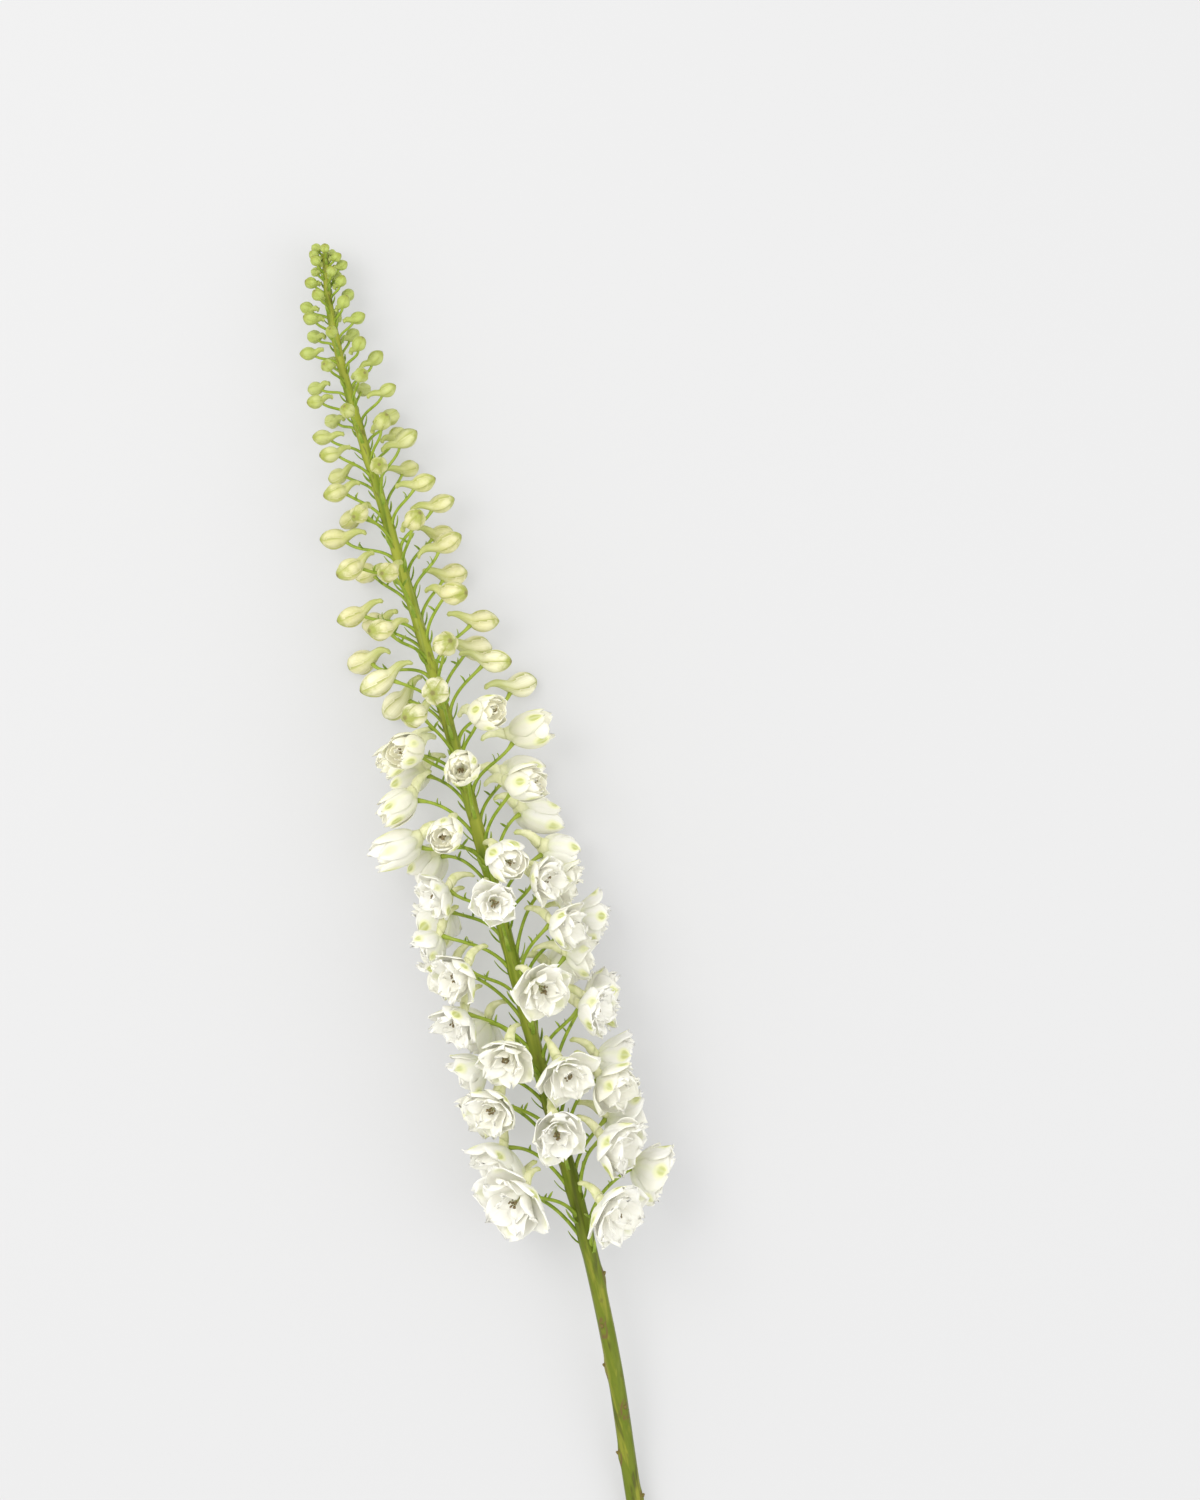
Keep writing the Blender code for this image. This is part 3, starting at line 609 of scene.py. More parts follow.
def petal_sheet(skin, floret, angle, shape, slot, tone, draw, open_by):
    """One petal: a ruffled sheet along a bent midline, cupped across it."""
    v, u = grid_shares(shape.rows, shape.columns)
    width = shape.width * floret.radius * draw(0.88, 1.1)
    widest = shape.widest + draw(-0.06, 0.06)
    rise = np.clip(v / widest, 0, 1)
    grow = shape.claw + (1 - shape.claw) * (rise * rise * (3 - 2 * rise))
    fall = np.clip((v - widest) / (1.0 - widest), 0, 1)
    blunt = shape.blunt * draw(0.8, 1.75)
    profile = np.where(v < widest, grow, np.maximum(1 - (0.985 * fall) ** 2.0, 0.0) ** blunt)
    half = 0.5 * width * profile

    # The midline, and the direction square to it
    line = np.array(shape.line)
    curl = draw(-0.14, 0.12) + open_by
    line[2] += np.array([0.5, -0.5]) * curl
    line[3] = (line[3] + np.array([curl, -curl])) * draw(0.93, 1.05)
    fray = shape.frayed * np.sin(u * draw(5.0, 9.0) + draw(0, 6)) * v**6
    middle = bezier(line, (v * (1.0 + fray))[..., None])
    out = middle[..., 0] * floret.radius
    ahead = middle[..., 1] * floret.length
    slope_out = np.gradient(out, axis=0)
    slope_ahead = np.gradient(ahead, axis=0)
    size = np.maximum(np.hypot(slope_out, slope_ahead), 1e-9)

    # The curve across, then twist, ruffles and keel
    bend = np.maximum(shape.cup * (0.35 + 0.65 * (1 - v * shape.flare)), 0.05)
    bend = bend * draw(0.75, 1.25)
    aside = half * np.sin(bend * u) / bend
    lift = half * (1 - np.cos(bend * u)) / bend
    twist = draw(-0.32, 0.32) * v
    aside, lift = turned(aside, lift, twist)
    phase, other = draw(0, 6.28), draw(0, 6.28)
    wave = np.sin(shape.waves * v * pi + phase + 0.7 * np.sign(u) + other * (u > 0))
    ruffle = np.abs(u) ** 1.6 * wave * np.clip(v * 1.6 - 0.25, 0, 1)
    ruffle = ruffle + 0.8 * v**5 * np.sin(u * 4.2 + other)
    crumple = np.sin(7.0 * v + 3.1 * u + phase) * np.sin(4.3 * u - 3.0 * v + other)
    keel = shape.keel * np.exp(-((u / 0.2) ** 2)) * np.sin(v * pi)
    lift = lift + (shape.ruffle * (ruffle + 0.22 * crumple * v) - keel) * floret.radius
    out = out - lift * slope_ahead / size
    ahead = ahead + lift * slope_out / size
    aside = aside + draw(-0.12, 0.12) * out * v
    local = np.stack([*turned(out, aside, angle), ahead], axis=2)
    out_axis = lean(floret.across, floret.spurward, angle)
    skin.sheet(floret.world(local), PETAL_THICKNESS, slot, u, v, tone, out_axis - floret.facing)


def rings_of(line, columns, swell=None):
    """Rings round a floret's axis from rows of rise, place ahead and radius."""
    angle = turns(columns)
    rings = []
    for row, (lift, ahead, radius) in enumerate(line):
        out = radius * (np.ones(columns) if swell is None else swell[row])
        rings.append([out * np.cos(angle), lift + out * np.sin(angle), np.full(columns, ahead)])
    return np.array(rings).transpose(0, 2, 1)


def spur_keys(floret):
    """The spur from its blunt end to the neck: share of the way, rise, place ahead, radius."""
    keys = []
    for share in (SPUR_BLUNT, 0.96, *SPUR_SHARES, NECK_SHARE):
        rise, ahead, radius = floret.spur_row(share)
        radius *= 0.4 if share == SPUR_BLUNT else 1.14
        keys.append(((SPUR_BLUNT - share) / (SPUR_BLUNT - NECK_SHARE), rise, ahead, radius))
    return keys


def add_spur(skin, floret, tone):
    rows, columns = 14, 12
    line = smooth_line(spur_keys(floret), np.linspace(0.0, 1.0, rows))
    angle = turns(columns)
    swell = [
        1.0 + 0.08 * np.sin(5 * angle + 0.6 * row) + 0.05 * sin(1.9 * row) for row in range(rows)
    ]
    grid = floret.world(rings_of(line, columns, swell))
    skin.skin_of_rings(grid, BACK, 0.5, np.linspace(0, 0.36, rows)[:, None], tone)


def add_cup(skin, floret, middle, end, rows, columns, tone):
    """The closed base of a floret, from its neck to where the petals stand free."""
    rise, behind, wide = floret.spur_row(NECK_SHARE)
    keys = ((0.0, rise, behind, wide * 0.98), middle, end)
    line = smooth_line(keys, np.linspace(0, 1, rows))
    grid = floret.world(rings_of(line, columns))
    high = 0.46 if floret.kind == "open" else 0.56
    skin.skin_of_rings(grid, BACK, 0.5, np.linspace(0.34, high, rows)[:, None], tone)


def bud_keys(floret):
    """Spur, neck and body of a closed bud: share, rise, place ahead, radius."""
    spur = [(0.38 * share, rise, ahead, around) for share, rise, ahead, around in spur_keys(floret)]
    radius = floret.radius
    return spur + [
        (share, rise * radius, ahead * floret.length, around * radius)
        for share, rise, ahead, around in BUD_BODY
    ]


def add_bud(skin, floret, rows, columns):
    """A closed bud whose five sepals overlap round it, each with a low midrib."""
    draw = random.Random(9000 + floret.index).uniform
    shares = np.linspace(0.0, 1.0, rows)
    line = smooth_line(bud_keys(floret), shares)
    twist = draw(0.35, 0.9)
    start = draw(0, 1.2)
    swell = []
    phases = []
    for share in shares:
        body = float(np.clip((share - 0.44) / 0.14, 0, 1))
        phase = (SEPALS * (turns(columns) + start + twist * share) / tau) % 1.0
        step = np.clip(phase / OVERLAP, 0, 1) - np.clip((phase - OVERLAP) / (1.0 - OVERLAP), 0, 1)
        midrib = np.exp(-(((phase - 0.42) / 0.13) ** 2))
        swell.append(1.0 + BUD_RELIEF * body * (step - 0.75 + 0.22 * midrib))
        phases.append(phase)
    grid = floret.world(rings_of(line, columns, swell))
    skin.skin_of_rings(grid, 0, np.array(phases), shares[:, None], draw(0, 1))


def add_tube(skin, line, radii, sides, slot, tone):
    """A round tube along a line of points."""
    line = np.asarray(line)
    ahead = np.gradient(line, axis=0)
    ahead = ahead / np.maximum(np.linalg.norm(ahead, axis=1, keepdims=True), 1e-12)
    guide = np.array([0.0, 0.0, 1.0]) if abs(ahead[0][2]) < 0.9 else np.array([1.0, 0.0, 0.0])
    side_axis = unit(np.cross(ahead[0], guide))
    angle = turns(sides)
    rings = []
    for point, way, radius in zip(line, ahead, radii):
        side_axis = unit(side_axis - np.dot(side_axis, way) * way)
        rings.append(ring(point, radius, angle, side_axis, np.cross(way, side_axis)))
    along = np.linspace(0.0, 1.0, len(line))[:, None]
    skin.skin_of_rings(np.array(rings), slot, (angle / tau)[None, :], along, tone)


def add_stamens(skin, floret, ahead, spread, count, draw):
    """A tuft of thin stalks with small dark heads in the floret's throat."""
    for _ in range(count):
        angle = draw(0, tau)
        out = spread * sqrt(draw(0.02, 1.0))
        rise = ahead * draw(0.84, 1.08)
        top = np.array([out * cos(angle), out * sin(angle), rise])
        foot = np.array([0.3 * top[0], 0.3 * top[1], 0.3 * floret.length])
        line = floret.world(np.array([foot + share * (top - foot) for share in (0.0, 0.5, 1.0)]))
        add_tube(skin, line, [STAMEN_RADIUS] * 3, 5, STALK, draw(0, 1))
        size = draw(0.00034, 0.00054)
        axis = unit(np.array([draw(-1, 1) for _ in range(3)]) + 1e-3)
        head = [line[-1] + axis * size * step for step in (-1.35, -1.0, 0.0, 1.0, 1.35)]
        add_tube(skin, head, [size * share for share in (0.25, 0.7, 1.0, 0.7, 0.25)], 6, HEAD, 0.5)


def add_blade(skin, root, end, width, bow, facing, tone):
    """A narrow leafy blade with a folded middle, from root to end."""
    v, u = grid_shares(9, 5)
    run = float(np.linalg.norm(end - root))
    ahead = (end - root) / run
    side = unit(np.cross(ahead, facing))
    up = np.cross(side, ahead)
    half = 0.5 * width * np.clip(np.sin(np.pi * (0.12 + 0.86 * v)) ** 0.6, 0.08, 1)
    over = 0.45 * half * np.abs(u) + bow * run * 4 * v * (1 - v)
    grid = root + (v * run)[..., None] * ahead + (half * u)[..., None] * side + over[..., None] * up
    skin.sheet(grid, BRACT_THICKNESS, 1, u, v, tone, -up)


def make_floret(floret, materials):
    """An open or half-open floret: spur, base, whorls of ruffled petals, and dark stamens."""
    skin = Skin()
    length, radius = floret.length, floret.radius
    rise, behind, wide = floret.spur_row(NECK_SHARE)
    if floret.kind == "open":
        name, seed, moods, stamens = "bloom", 5000, (-0.1, 0.08), (0.66 * length, 0.0019, 14)
        tones, age = (0.0, 0.6), 0.0
        _, ahead, around = floret.base_row()
        middle = (0.5, 0.5 * rise, 0.5 * (behind + ahead), 0.51 * (wide + around))
        cup = (middle, (1.0, 0.0, ahead + 0.0006, around * 0.85), 6, 16)
    else:
        name, seed, moods, stamens = "cup", 6000, (-0.14, 0.1), (0.84 * length, 0.0016, 8)
        tones, age = (0.2, 0.6), (floret.height - CUPPED_FROM) / (CLOSED_FROM - CUPPED_FROM)
        middle = (0.4, 0.3 * rise, 0.05 * length, 0.54 * radius)
        cup = (middle, (1.0, 0.0, 0.3 * length, 0.84 * radius), 8, 20)
    draw = random.Random(seed + floret.index).uniform
    tone = draw(*tones) + 1.1 * age
    add_spur(skin, floret, tone)
    add_cup(skin, floret, *cup, tone)
    mood = draw(*moods)
    for number, (shape, count, start, swing, tones) in enumerate(WHORLS[floret.kind]):
        start = draw(0, 1.5) if start is None else start
        slot = INSIDE if number else PETAL
        for step in range(count):
            angle = start + step * tau / count + draw(-swing, swing)
            share = draw(*tones) if tones[1:] else tones[0]
            open_by = mood if number < 2 else 0.0
            petal_sheet(skin, floret, angle, shape, slot, tone * share, draw, open_by)
    add_stamens(skin, floret, *stamens, draw)
    return skin.make(f"{name}_{floret.index:02d}", materials)


def youth(floret):
    """How green a bud is: below 0 for the oldest, 1 near the tip."""
    if floret.kind == "closed":
        return (floret.height - FUSED_FROM) / (FUSED_FROM - CLOSED_FROM)
    return float(np.clip((floret.height - GREEN_FROM) / (GREEN_TO - GREEN_FROM), 0, 1))


def make_buds(name, florets, material, rows, columns):
    """Closed buds in one piece, each greener the nearer it stands to the tip."""
    skin = Skin()
    for floret in florets:
        skin.young = youth(floret)
        add_bud(skin, floret, rows, columns)
    return skin.make(name, [material])


def apart_from(angle, azimuth):
    """How far angles lie from an azimuth, from minus to plus half a turn."""
    return np.angle(np.exp(1j * (angle - azimuth)))


def scar_marks(along, angle):
    """Swelling and brown tone of the leaf scars at one place along the stem."""
    swell = np.zeros(len(angle))
    tone = np.zeros(len(angle))
    for place, degrees in LEAF_SCARS:
        near = (along - place) / SCAR_REACH
        if abs(near) < 3:
            apart = apart_from(angle, radians(degrees))
            mask = np.exp(-near * near - (apart / 0.42) ** 2)
            rim = np.exp(-((((near * near) + (apart / 0.5) ** 2 - 1.1) / 0.55) ** 2))
            swell += SCAR_SWELL * mask
            tone = np.maximum(tone, 0.45 * mask + 0.8 * rim * (mask > 0.08))
    return swell, tone


def add_stubs(skin):
    """The stub of a leaf stalk on each scar."""
    for place, degrees in LEAF_SCARS:
        centre, tipward, sideways, upward = stem_frame(place + 0.0008)
        outward = lean(sideways, upward, radians(degrees))
        root = centre + outward * (ramp(STEM_RADIUS, place) - 0.0002)
        way = 0.8 * tipward + 0.7 * outward
        stub = [root + step * way for step in (0.0, 0.001, 0.0018, 0.0021)]
        add_tube(skin, stub, (0.00095, 0.0008, 0.0006, 0.0003), 9, 0, 0.75)


def add_cut(skin, rim, columns):
    """The cut end: a shallow dish with a small hole in its middle, inside the stem's first ring."""
    centre = rim.mean(axis=0)
    tipward = stem_frame(0.0)[1]
    rings = [centre + share * (rim - centre) + deep * tipward for share, deep in CUT_DISH]
    rings.append((centre + CUT_DISH[-1][1] * tipward)[None])
    last = (len(CUT_DISH) - 1) * columns
    faces = wall_faces(len(CUT_DISH), columns) + fan_faces(last, columns, last + columns)
    skin.add(np.concatenate(rings), faces, 1, 0.0, 0.0, 0.2)


def make_stem_skin(florets, material, cut_material):
    """The stem: ribbed, swollen where each pedicel leaves, scarred where leaves were, cut flat."""
    rows, columns = 300, 32
    angle = turns(columns)
    rings = []
    tones = []
    for row in range(rows):
        along = SPIKE_LENGTH * row / (rows - 1)
        centre, _, sideways, upward = stem_frame(along)
        ribs = 0.022 * np.cos(7 * angle + 2.0 * sin(along * 9))
        ribs = ribs + 0.012 * np.cos(13 * angle + along * 20)
        swell, tone = scar_marks(along, angle)
        for floret in florets:
            near = (along - floret.along) / NODE_REACH
            if abs(near) < 2.5:
                leave = floret.pedicel[0] - stem_point(floret.along)
                apart = apart_from(angle, atan2(np.dot(leave, upward), np.dot(leave, sideways)))
                swell += NODE_SWELL * np.exp(-near * near - (apart / 0.75) ** 2)
        out = ramp(STEM_RADIUS, along) * (1.0 + ribs) + swell
        rings.append(ring(centre, out, angle, sideways, upward))
        tones.append(tone)
    skin = Skin()
    add_stubs(skin)
    size = rows * columns
    faces = [(b, a, d, c) for a, b, c, d in wall_faces(rows, columns)]
    faces += [(b, a, middle) for a, b, middle in fan_faces(size - columns, columns, size)]
    tone = np.concatenate(tones + [[0.0]])
    along = np.concatenate([np.repeat(np.linspace(0, 1, rows), columns), [1.0]])
    skin.add(np.concatenate(rings + [rings[-1].mean(axis=0)[None]]), faces, 0, 0.0, along, tone)
    add_cut(skin, rings[0], columns)
    return skin.make("stem_skin", [material, cut_material])


def make_pedicels(florets, material, leaf_material):
    """Pedicels with a swollen foot and head, a bract at the foot and two bracteoles."""
    skin = Skin()
    for floret in florets:
        draw = random.Random(7000 + floret.index).uniform
        small = floret.young
        shares = np.linspace(0.0, 1.0, 10 if small else 18)
        line = np.array([bezier(floret.pedicel, share) for share in shares])
        if floret.kind != "fused":
            line[-1] += 0.0009 * floret.pedicel_end()[1]
        thin = floret.pedicel_radius * 0.98
        head = 0.0013 if floret.kind in ("open", "cupped") else min(0.0011, 0.34 * floret.radius)
        radii = thin + 0.00085 * np.exp(-shares / 0.07) * (0.5 if small else 1.0)
        if not small:
            radii += max(head - thin, 0.0) * np.exp(-(((1.0 - shares) / 0.06) ** 2))
        add_tube(skin, line, radii, 7 if small else 9, 0, draw(0, 1))
        root, end = floret.bract
        wide = 0.0009 + 0.08 * float(np.linalg.norm(end - root))
        add_blade(skin, root, end, wide, 0.06, floret.outward, draw(0, 1))
        if not small:
            hand = 1.0 if floret.index % 2 else -1.0
            second = bezier(floret.pedicel, 0.7)
            way = unit(-hand * floret.across + 0.9 * floret.tipward)
            for start, end in (floret.bracteole, (second, second + 0.0045 * way)):
                add_blade(skin, start, end, 0.0011, 0.08, floret.facing, draw(0, 1))
    return skin.make("pedicels", [material, leaf_material])


def finish_piece(piece, slot, *nodes):
    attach(piece, "root")
    if nodes:
        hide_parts(*nodes)


class Paint:
    """A material's nodes. now is the colour so far, and lay() covers it where a mask is 1."""

    def __init__(self, name, colour, roughness, subsurface=0.0, depth=0.001, specular=0.5):
        self.material = bpy.data.materials.new(name)
        self.material.use_nodes = True
        self.nodes = self.material.node_tree.nodes
        self.links = self.material.node_tree.links
        self.now = (*colour, 1.0)
        self.set("Base Color", self.now)
        self.set("Roughness", roughness)
        self.set("Specular IOR Level", specular)
        self.set("Subsurface Weight", subsurface)
        self.set("Subsurface Radius", (1.0, 1.0, 0.95))
        self.set("Subsurface Scale", depth)

    def set(self, key, value):
        self.nodes["Principled BSDF"].inputs[key].default_value = value

    def glow(self, colour, strength):
        self.set("Emission Color", (*colour, 1.0))
        self.set("Emission Strength", strength)

    def node(self, kind, values, **settings):
        """A node whose inputs take numbers, colours or the outputs of other nodes."""
        node = self.nodes.new("ShaderNode" + kind)
        for key, value in settings.items():
            setattr(node, key, value)
        for key, value in values.items():
            if isinstance(value, bpy.types.NodeSocket):
                self.links.new(value, node.inputs[key])
            else:
                node.inputs[key].default_value = value
        return node

    def value(self, name):
        return self.node("Attribute", {}, attribute_name=name).outputs["Fac"]

    def math(self, operation, *values):
        return self.node("Math", dict(enumerate(values)), operation=operation).outputs[0]

    def plus(self, first, second):
        return self.math("ADD", first, second)

    def times(self, first, second):
        return self.math("MULTIPLY", first, second)

    def span(self, value, low, high, to_low, to_high):
        """A smooth step from to_low to to_high while the value goes from low to high."""
        values = {"Value": value, "From Min": low, "From Max": high, "To Min": to_low, "To Max": to_high}
        return self.node("MapRange", values, interpolation_type="SMOOTHSTEP").outputs["Result"]

    def noise(self, scale, detail, lengthwise=1.0):
        """Noise in the object's space, drawn out along the spike where lengthwise is small."""
        place = self.node("TexCoord", {}).outputs["Object"]
        mapping = self.node("Mapping", {"Vector": place, "Scale": (1.0, lengthwise, 1.0)})
        values = {"Vector": mapping.outputs["Vector"], "Scale": scale, "Detail": detail}
        return self.node("TexNoise", values).outputs["Fac"]

    def lay(self, mask, colour, under=None):
        under = self.now if under is None else (*under, 1.0)
        mix = self.node("Mix", {0: mask, MIX_UNDER: under, MIX_OVER: (*colour, 1.0)}, data_type="RGBA")
        self.now = mix.outputs[MIX_RESULT]

    def cover(self, colour, value, low, high, at_low, at_high, where=None):
        """Lay a colour, by at_low to at_high while the value goes from low to high."""
        mask = self.span(value, low, high, at_low, at_high)
        self.lay(mask if where is None else self.times(mask, where), colour)

    def bump(self, height, strength, distance):
        bump = self.node("Bump", {"Strength": strength, "Distance": distance, "Height": height})
        self.links.new(bump.outputs["Normal"], self.nodes["Principled BSDF"].inputs["Normal"])

    def finish(self):
        self.links.new(self.now, self.nodes["Principled BSDF"].inputs["Base Color"])
        return self.material


def petal_material(name, white, base, glow, spotted=False):
    """White petal: a greenish claw, fine veins and, on a sepal, a soft yellow-green spot at its tip."""
    paint = Paint(name, white, 0.55, 0.3, 0.003)
    # Painted light: this glow lifts the petal's shaded folds, standing in for light that passes through it
    paint.glow((1.0, 0.97, 0.88), glow)
    aside, along, tone, outer = [paint.value(key) for key in ("aside", "along", "tone", "outer")]
    off_middle = paint.math("ABSOLUTE", aside)
    patchy = paint.noise(260.0, 3.0)
    paint.cover((0.82, 0.8, 0.68), patchy, 0.4, 0.75, 0.0, 0.4)
    paint.lay(paint.times(tone, 0.45), (0.8, 0.77, 0.53))
    paint.cover(base, along, 0.0, 0.4, 0.75, 0.0)
    if spotted:
        reach = paint.times(paint.plus(along, -0.82), 1 / 0.105)
        wide = paint.times(aside, 1 / 0.25)
        far = paint.plus(paint.times(reach, reach), paint.times(wide, wide))
        far = paint.plus(far, paint.times(patchy, 1.1))
        far = paint.plus(far, paint.times(paint.plus(paint.noise(75.0, 2.0), -0.52), 5.0))
        shown = paint.span(outer, 0.0, 1.0, 0.3, 1.0)
        paint.cover((0.78, 0.8, 0.33), far, 0.6, 5.0, 0.85, 0.0, shown)
        paint.cover((0.38, 0.42, 0.045), far, 0.35, 1.9, 0.95, 0.0, shown)
        paint.cover((0.8, 0.83, 0.5), off_middle, 0.0, 0.3, 0.34, 0.0, shown)
    vein = paint.math("SINE", paint.plus(paint.times(aside, 13.0), paint.times(patchy, 3.0)))
    paint.cover((0.7, 0.73, 0.56), vein, 0.55, 1.0, 0.0, 0.14)
    paint.cover((0.78, 0.8, 0.52), off_middle, 0.8, 1.0, 0.0, 0.3, tone)
    paint.bump(paint.plus(paint.times(vein, 0.35), paint.noise(900.0, 4.0)), 0.4, 0.00014)
    return paint.finish()


def bud_material(name, cream, green):
    """Cream bud: green at its tip and its neck, with painted shade in its creases, and all green where it
    is young.
    """
    paint = Paint(name, cream, 0.46, 0.2, 0.003)
    aside, along, tone, young = [paint.value(key) for key in ("aside", "along", "tone", "young")]
    patchy = paint.noise(320.0, 3.0)
    paint.lay(tone, (0.74, 0.7, 0.42))
    paint.cover((0.55, 0.54, 0.18), patchy, 0.4, 0.7, 0.0, 0.5)
    paint.cover((0.86, 0.84, 0.64), young, -1.0, 0.2, 0.8, 0.0)
    # Painted shade: darker olive towards each sepal's edges, away from its lighter midrib, and a dark
    # green line in the seams where the sepals overlap
    off_midrib = paint.math("ABSOLUTE", paint.plus(aside, -0.42))
    paint.cover((0.45, 0.43, 0.12), off_midrib, 0.1, 0.5, 0.0, 0.55)
    paint.cover((0.33, 0.42, 0.05), young, 0.0, 1.0, 0.0, 0.86)
    off_seam = paint.math("ABSOLUTE", paint.plus(aside, -0.92))
    paint.cover(green, off_seam, 0.0, 0.13, 0.62, 0.0, paint.span(along, 0.42, 0.6, 0.0, 1.0))
    tip = paint.plus(along, paint.times(paint.plus(patchy, -0.5), 0.3))
    paint.cover(green, tip, 0.78, 0.97, 0.0, 0.9)
    paint.cover((0.17, 0.13, 0.03), along, 0.96, 0.995, 0.0, 0.75)
    paint.cover((0.42, 0.47, 0.11), along, 0.22, 0.62, 0.75, 0.0)
    vein = paint.math("SINE", paint.times(aside, 44.0))
    paint.cover((0.6, 0.6, 0.24), vein, 0.3, 1.0, 0.0, 0.16)
    paint.bump(paint.plus(paint.times(vein, 0.5), patchy), 0.4, 0.00014)
    return paint.finish()


def spur_material(name, pale, green):
    """Spur and outer base of an open floret: pale cream-green, greener at the neck, wrinkled."""
    paint = Paint(name, pale, 0.52, 0.25, 0.003)
    along, tone = paint.value("along"), paint.value("tone")
    patchy = paint.noise(300.0, 3.0)
    paint.cover(green, patchy, 0.35, 0.7, 0.0, 0.55)
    paint.lay(paint.times(tone, 0.4), (0.8, 0.8, 0.55))
    paint.cover(green, along, 0.0, 0.12, 0.7, 0.0)
    paint.cover((0.84, 0.85, 0.7), along, 0.4, 0.56, 0.0, 0.6)
    paint.bump(paint.plus(patchy, paint.noise(1100.0, 2.0)), 0.45, 0.00018)
    return paint.finish()


def stem_material(name):
    """Yellow-green stem with lengthwise streaks, darker flecks and brown scars, darkest low down."""
    paint = Paint(name, (0.26, 0.33, 0.03), 0.42, 0.05, specular=0.18)
    streak = paint.noise(420.0, 3.0, 0.035)
    fleck = paint.noise(700.0, 2.0, 0.25)
    paint.lay(paint.span(streak, 0.38, 0.66, 0.0, 1.0), (0.29, 0.33, 0.035), under=(0.15, 0.21, 0.013))
    paint.cover((0.36, 0.37, 0.05), paint.noise(38.0, 3.0), 0.4, 0.66, 0.0, 0.5)
    paint.cover((0.44, 0.47, 0.14), paint.noise(260.0, 2.0, 0.02), 0.56, 0.7, 0.0, 0.5)
    old = paint.span(paint.value("along"), 0.2, 0.6, 0.78, 0.0)
    paint.lay(old, (0.095, 0.13, 0.006))
    paint.cover((0.27, 0.27, 0.03), paint.noise(330.0, 3.0, 0.045), 0.52, 0.66, 0.0, 0.9, old)
    paint.cover((0.06, 0.065, 0.01), paint.noise(300.0, 3.0, 0.05), 0.55, 0.7, 0.0, 1.0, old)
    paint.cover((0.12, 0.11, 0.02), fleck, 0.58, 0.72, 0.0, 0.65)
    paint.cover((0.15, 0.09, 0.03), paint.value("tone"), 0.35, 0.85, 0.0, 0.9)
    paint.bump(paint.plus(streak, paint.times(fleck, 0.4)), 0.45, 0.0003)
    return paint.finish()


def green_material(name, light, dark, pale, roughness):
    """Pedicels and bracts: mottled green that pales towards the far end."""
    paint = Paint(name, light, roughness, 0.06, specular=0.25)
    patchy = paint.noise(300.0, 2.0)
    paint.lay(paint.span(patchy, 0.35, 0.7, 0.0, 1.0), light, under=dark)
    paint.lay(paint.times(paint.value("tone"), 0.5), light)
    paint.cover(pale, paint.value("along"), 0.55, 1.0, 0.0, 0.45)
    paint.bump(patchy, 0.3, 0.0001)
    return paint.finish()


def plain_material(name, colour, roughness):
    """Small parts, such as stamens: one colour with a darker grain."""
    paint = Paint(name, colour, roughness)
    dark = [0.55 * part for part in colour]
    paint.lay(paint.span(paint.noise(900.0, 2.0), 0.35, 0.7, 0.0, 1.0), colour, under=dark)
    return paint.finish()


def link(name, data):
    """A new object in the scene."""
    made = bpy.data.objects.new(name, data)
    bpy.context.scene.collection.objects.link(made)
    return made


def make_floor():
    mesh = bpy.data.meshes.new("floor")
    x = FLOOR_HALF
    mesh.from_pydata([(-x, -x, 0), (x, -x, 0), (x, x, 0), (-x, x, 0)], [], [(0, 1, 2, 3)])
    paint = Paint("floor_pale", FLOOR_COLOUR, 0.9, specular=0.1)
    paint.glow((1.0, 1.0, 1.0), FLOOR_GLOW)
    mesh.materials.append(paint.material)
    floor = link("floor", mesh)


def area_light(name, place, target, size, power, colour):
    data = bpy.data.lights.new(name, "AREA")
    data.shape = "DISK"
    data.size = size
    data.energy = power
    data.color = colour
    light = link(name, data)
    light.location = place
    light.rotation_euler = (Vector(target) - Vector(place)).to_track_quat("-Z", "Y").to_euler()


def make_studio():
    world = bpy.data.worlds.new("studio")
    world.use_nodes = True
    background = world.node_tree.nodes["Background"]
    background.inputs["Color"].default_value = (1.0, 1.0, 1.0, 1.0)
    background.inputs["Strength"].default_value = SKY_STRENGTH
    bpy.context.scene.world = world
    area_light("key", (-0.9, 0.9, 1.9), (0.0, 0.05, 0.0), 1.4, KEY_POWER, (1.0, 0.985, 0.95))
    area_light("fill", (1.3, -0.6, 1.6), (0.0, 0.0, 0.0), 1.8, FILL_POWER, (0.98, 0.99, 1.0))
    scene = bpy.context.scene
    scene.view_settings.view_transform = "Standard"
    scene.view_settings.look = "None"


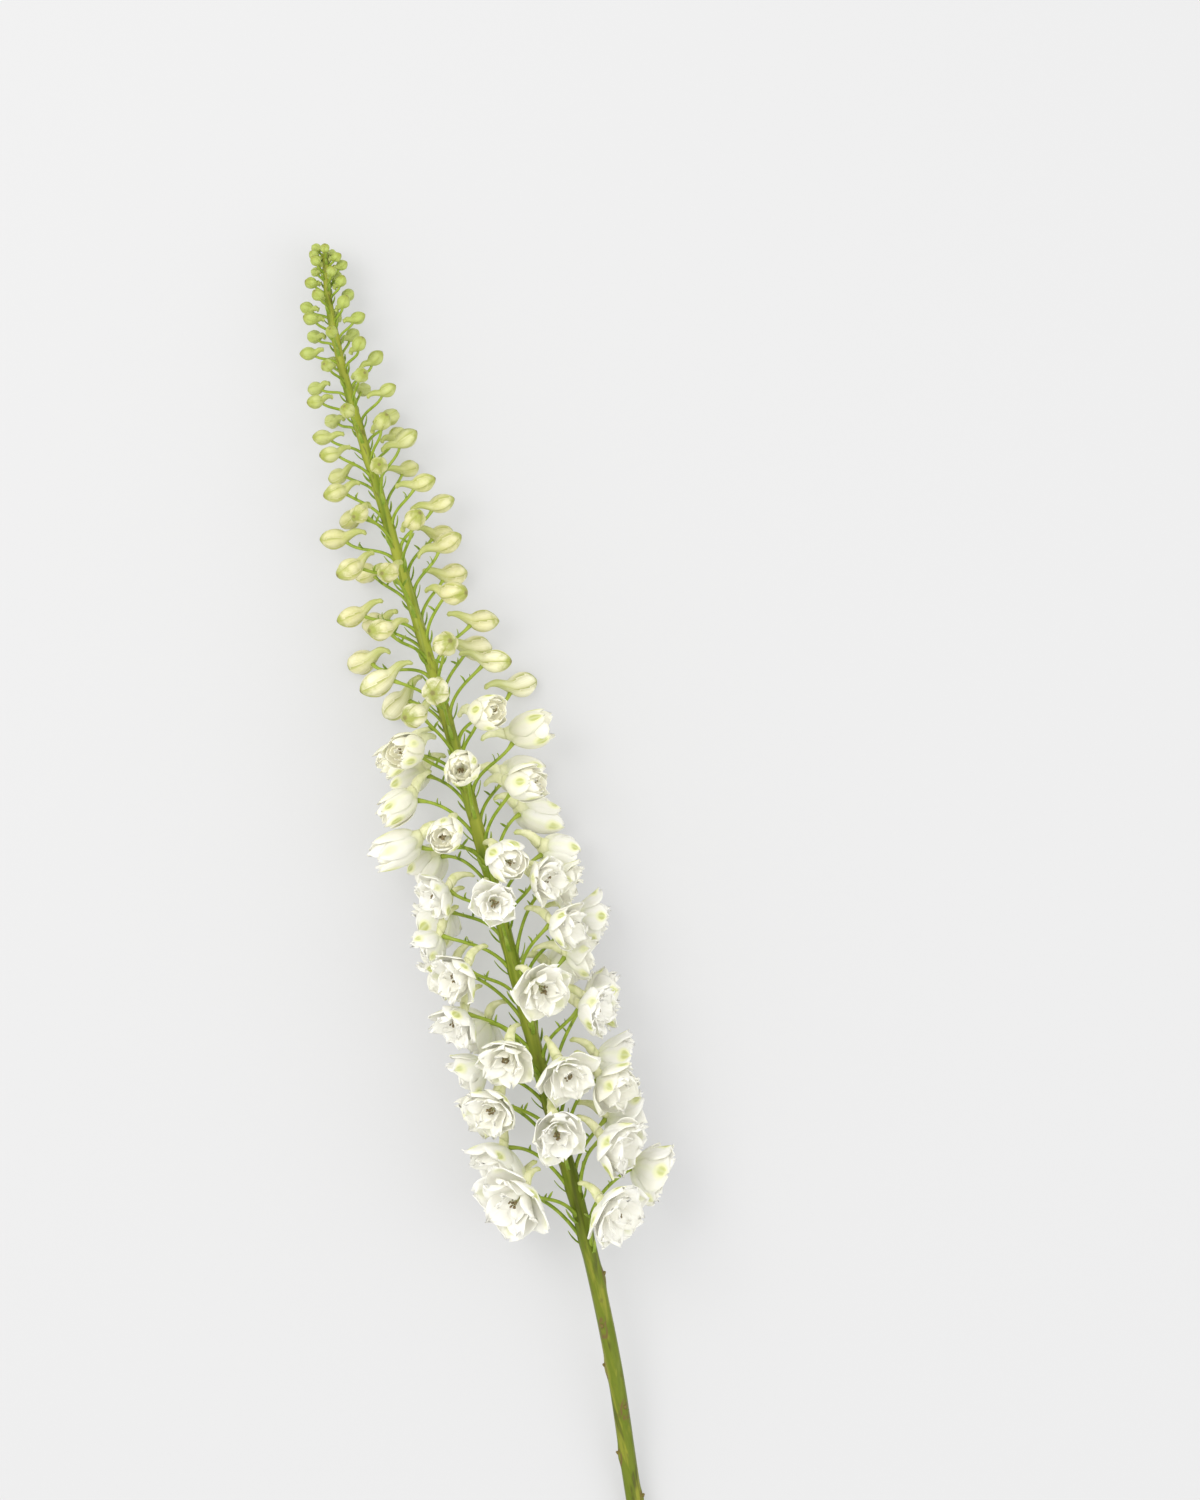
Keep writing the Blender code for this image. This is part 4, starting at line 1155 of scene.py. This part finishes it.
def make_camera():
    data = bpy.data.cameras.new("camera")
    data.sensor_fit = "VERTICAL"
    data.sensor_height = SENSOR_MM
    data.lens = SENSOR_MM * CAMERA_HEIGHT / VIEW_HEIGHT
    data.clip_start = 0.05
    data.clip_end = 20.0
    camera = link("camera", data)
    camera.location = (*VIEW_CENTRE, CAMERA_HEIGHT)
    camera.rotation_euler = (0.0, 0.0, VIEW_TURN)
    bpy.context.scene.camera = camera


def build():
    florets = arrange()
    # The inner and throat copies of the petal are lighter and glow more: painted light that lifts the
    # shade deep in each floret
    petal = petal_material("petal_white", (0.87, 0.857, 0.79), (0.74, 0.77, 0.42), PETAL_PAINTED_LIGHT, True)
    inner = petal_material("petal_inner", (0.88, 0.868, 0.8), (0.76, 0.78, 0.46), INNER_PAINTED_LIGHT)
    throat = petal_material("petal_throat", (0.9, 0.89, 0.82), (0.85, 0.86, 0.66), THROAT_PAINTED_LIGHT)
    back = spur_material("petal_back", (0.72, 0.71, 0.44), (0.46, 0.5, 0.15))
    bud = bud_material("bud_cream", (0.68, 0.64, 0.35), (0.29, 0.33, 0.03))
    stalk = plain_material("stamen_stalk", (0.55, 0.55, 0.25), 0.6)
    head = plain_material("stamen_head", (0.24, 0.18, 0.07), 0.7)
    stem = stem_material("stem_green")
    cut = plain_material("cut_pith", (0.6, 0.64, 0.36), 0.7)
    greens = (0.3, 0.39, 0.04), (0.19, 0.28, 0.02), (0.38, 0.45, 0.08)
    pedicel = green_material("pedicel_green", *greens, 0.45)
    greens = (0.26, 0.36, 0.04), (0.16, 0.25, 0.02), (0.42, 0.45, 0.12)
    leaf = green_material("bract_green", *greens, 0.5)
    for floret in florets:
        node = f"floret_{floret.index:02d}"
        if floret.kind in WHORLS:
            inside = inner if floret.kind == "open" else throat
            piece = make_floret(floret, [petal, back, inside, stalk, head])
            finish_piece(piece, "petal_white", node)
        elif floret.kind == "closed":
            piece = make_buds(f"bud_{floret.index:02d}", [floret], bud, 36, 50)
            finish_piece(piece, "bud_cream", node)
    finish_piece(make_stem_skin(florets, stem, cut), "stem_green", "stem")
    finish_piece(make_pedicels(florets, pedicel, leaf), "stem_green")
    for name, young, rows, columns in (("upper_buds", False, 32, 50), ("tip_buds", True, 22, 30)):
        some = [floret for floret in florets if floret.kind == "fused" and floret.young == young]
        finish_piece(make_buds(name, some, bud, rows, columns), "bud_cream")
    make_floor()
    make_studio()
    make_camera()


build()
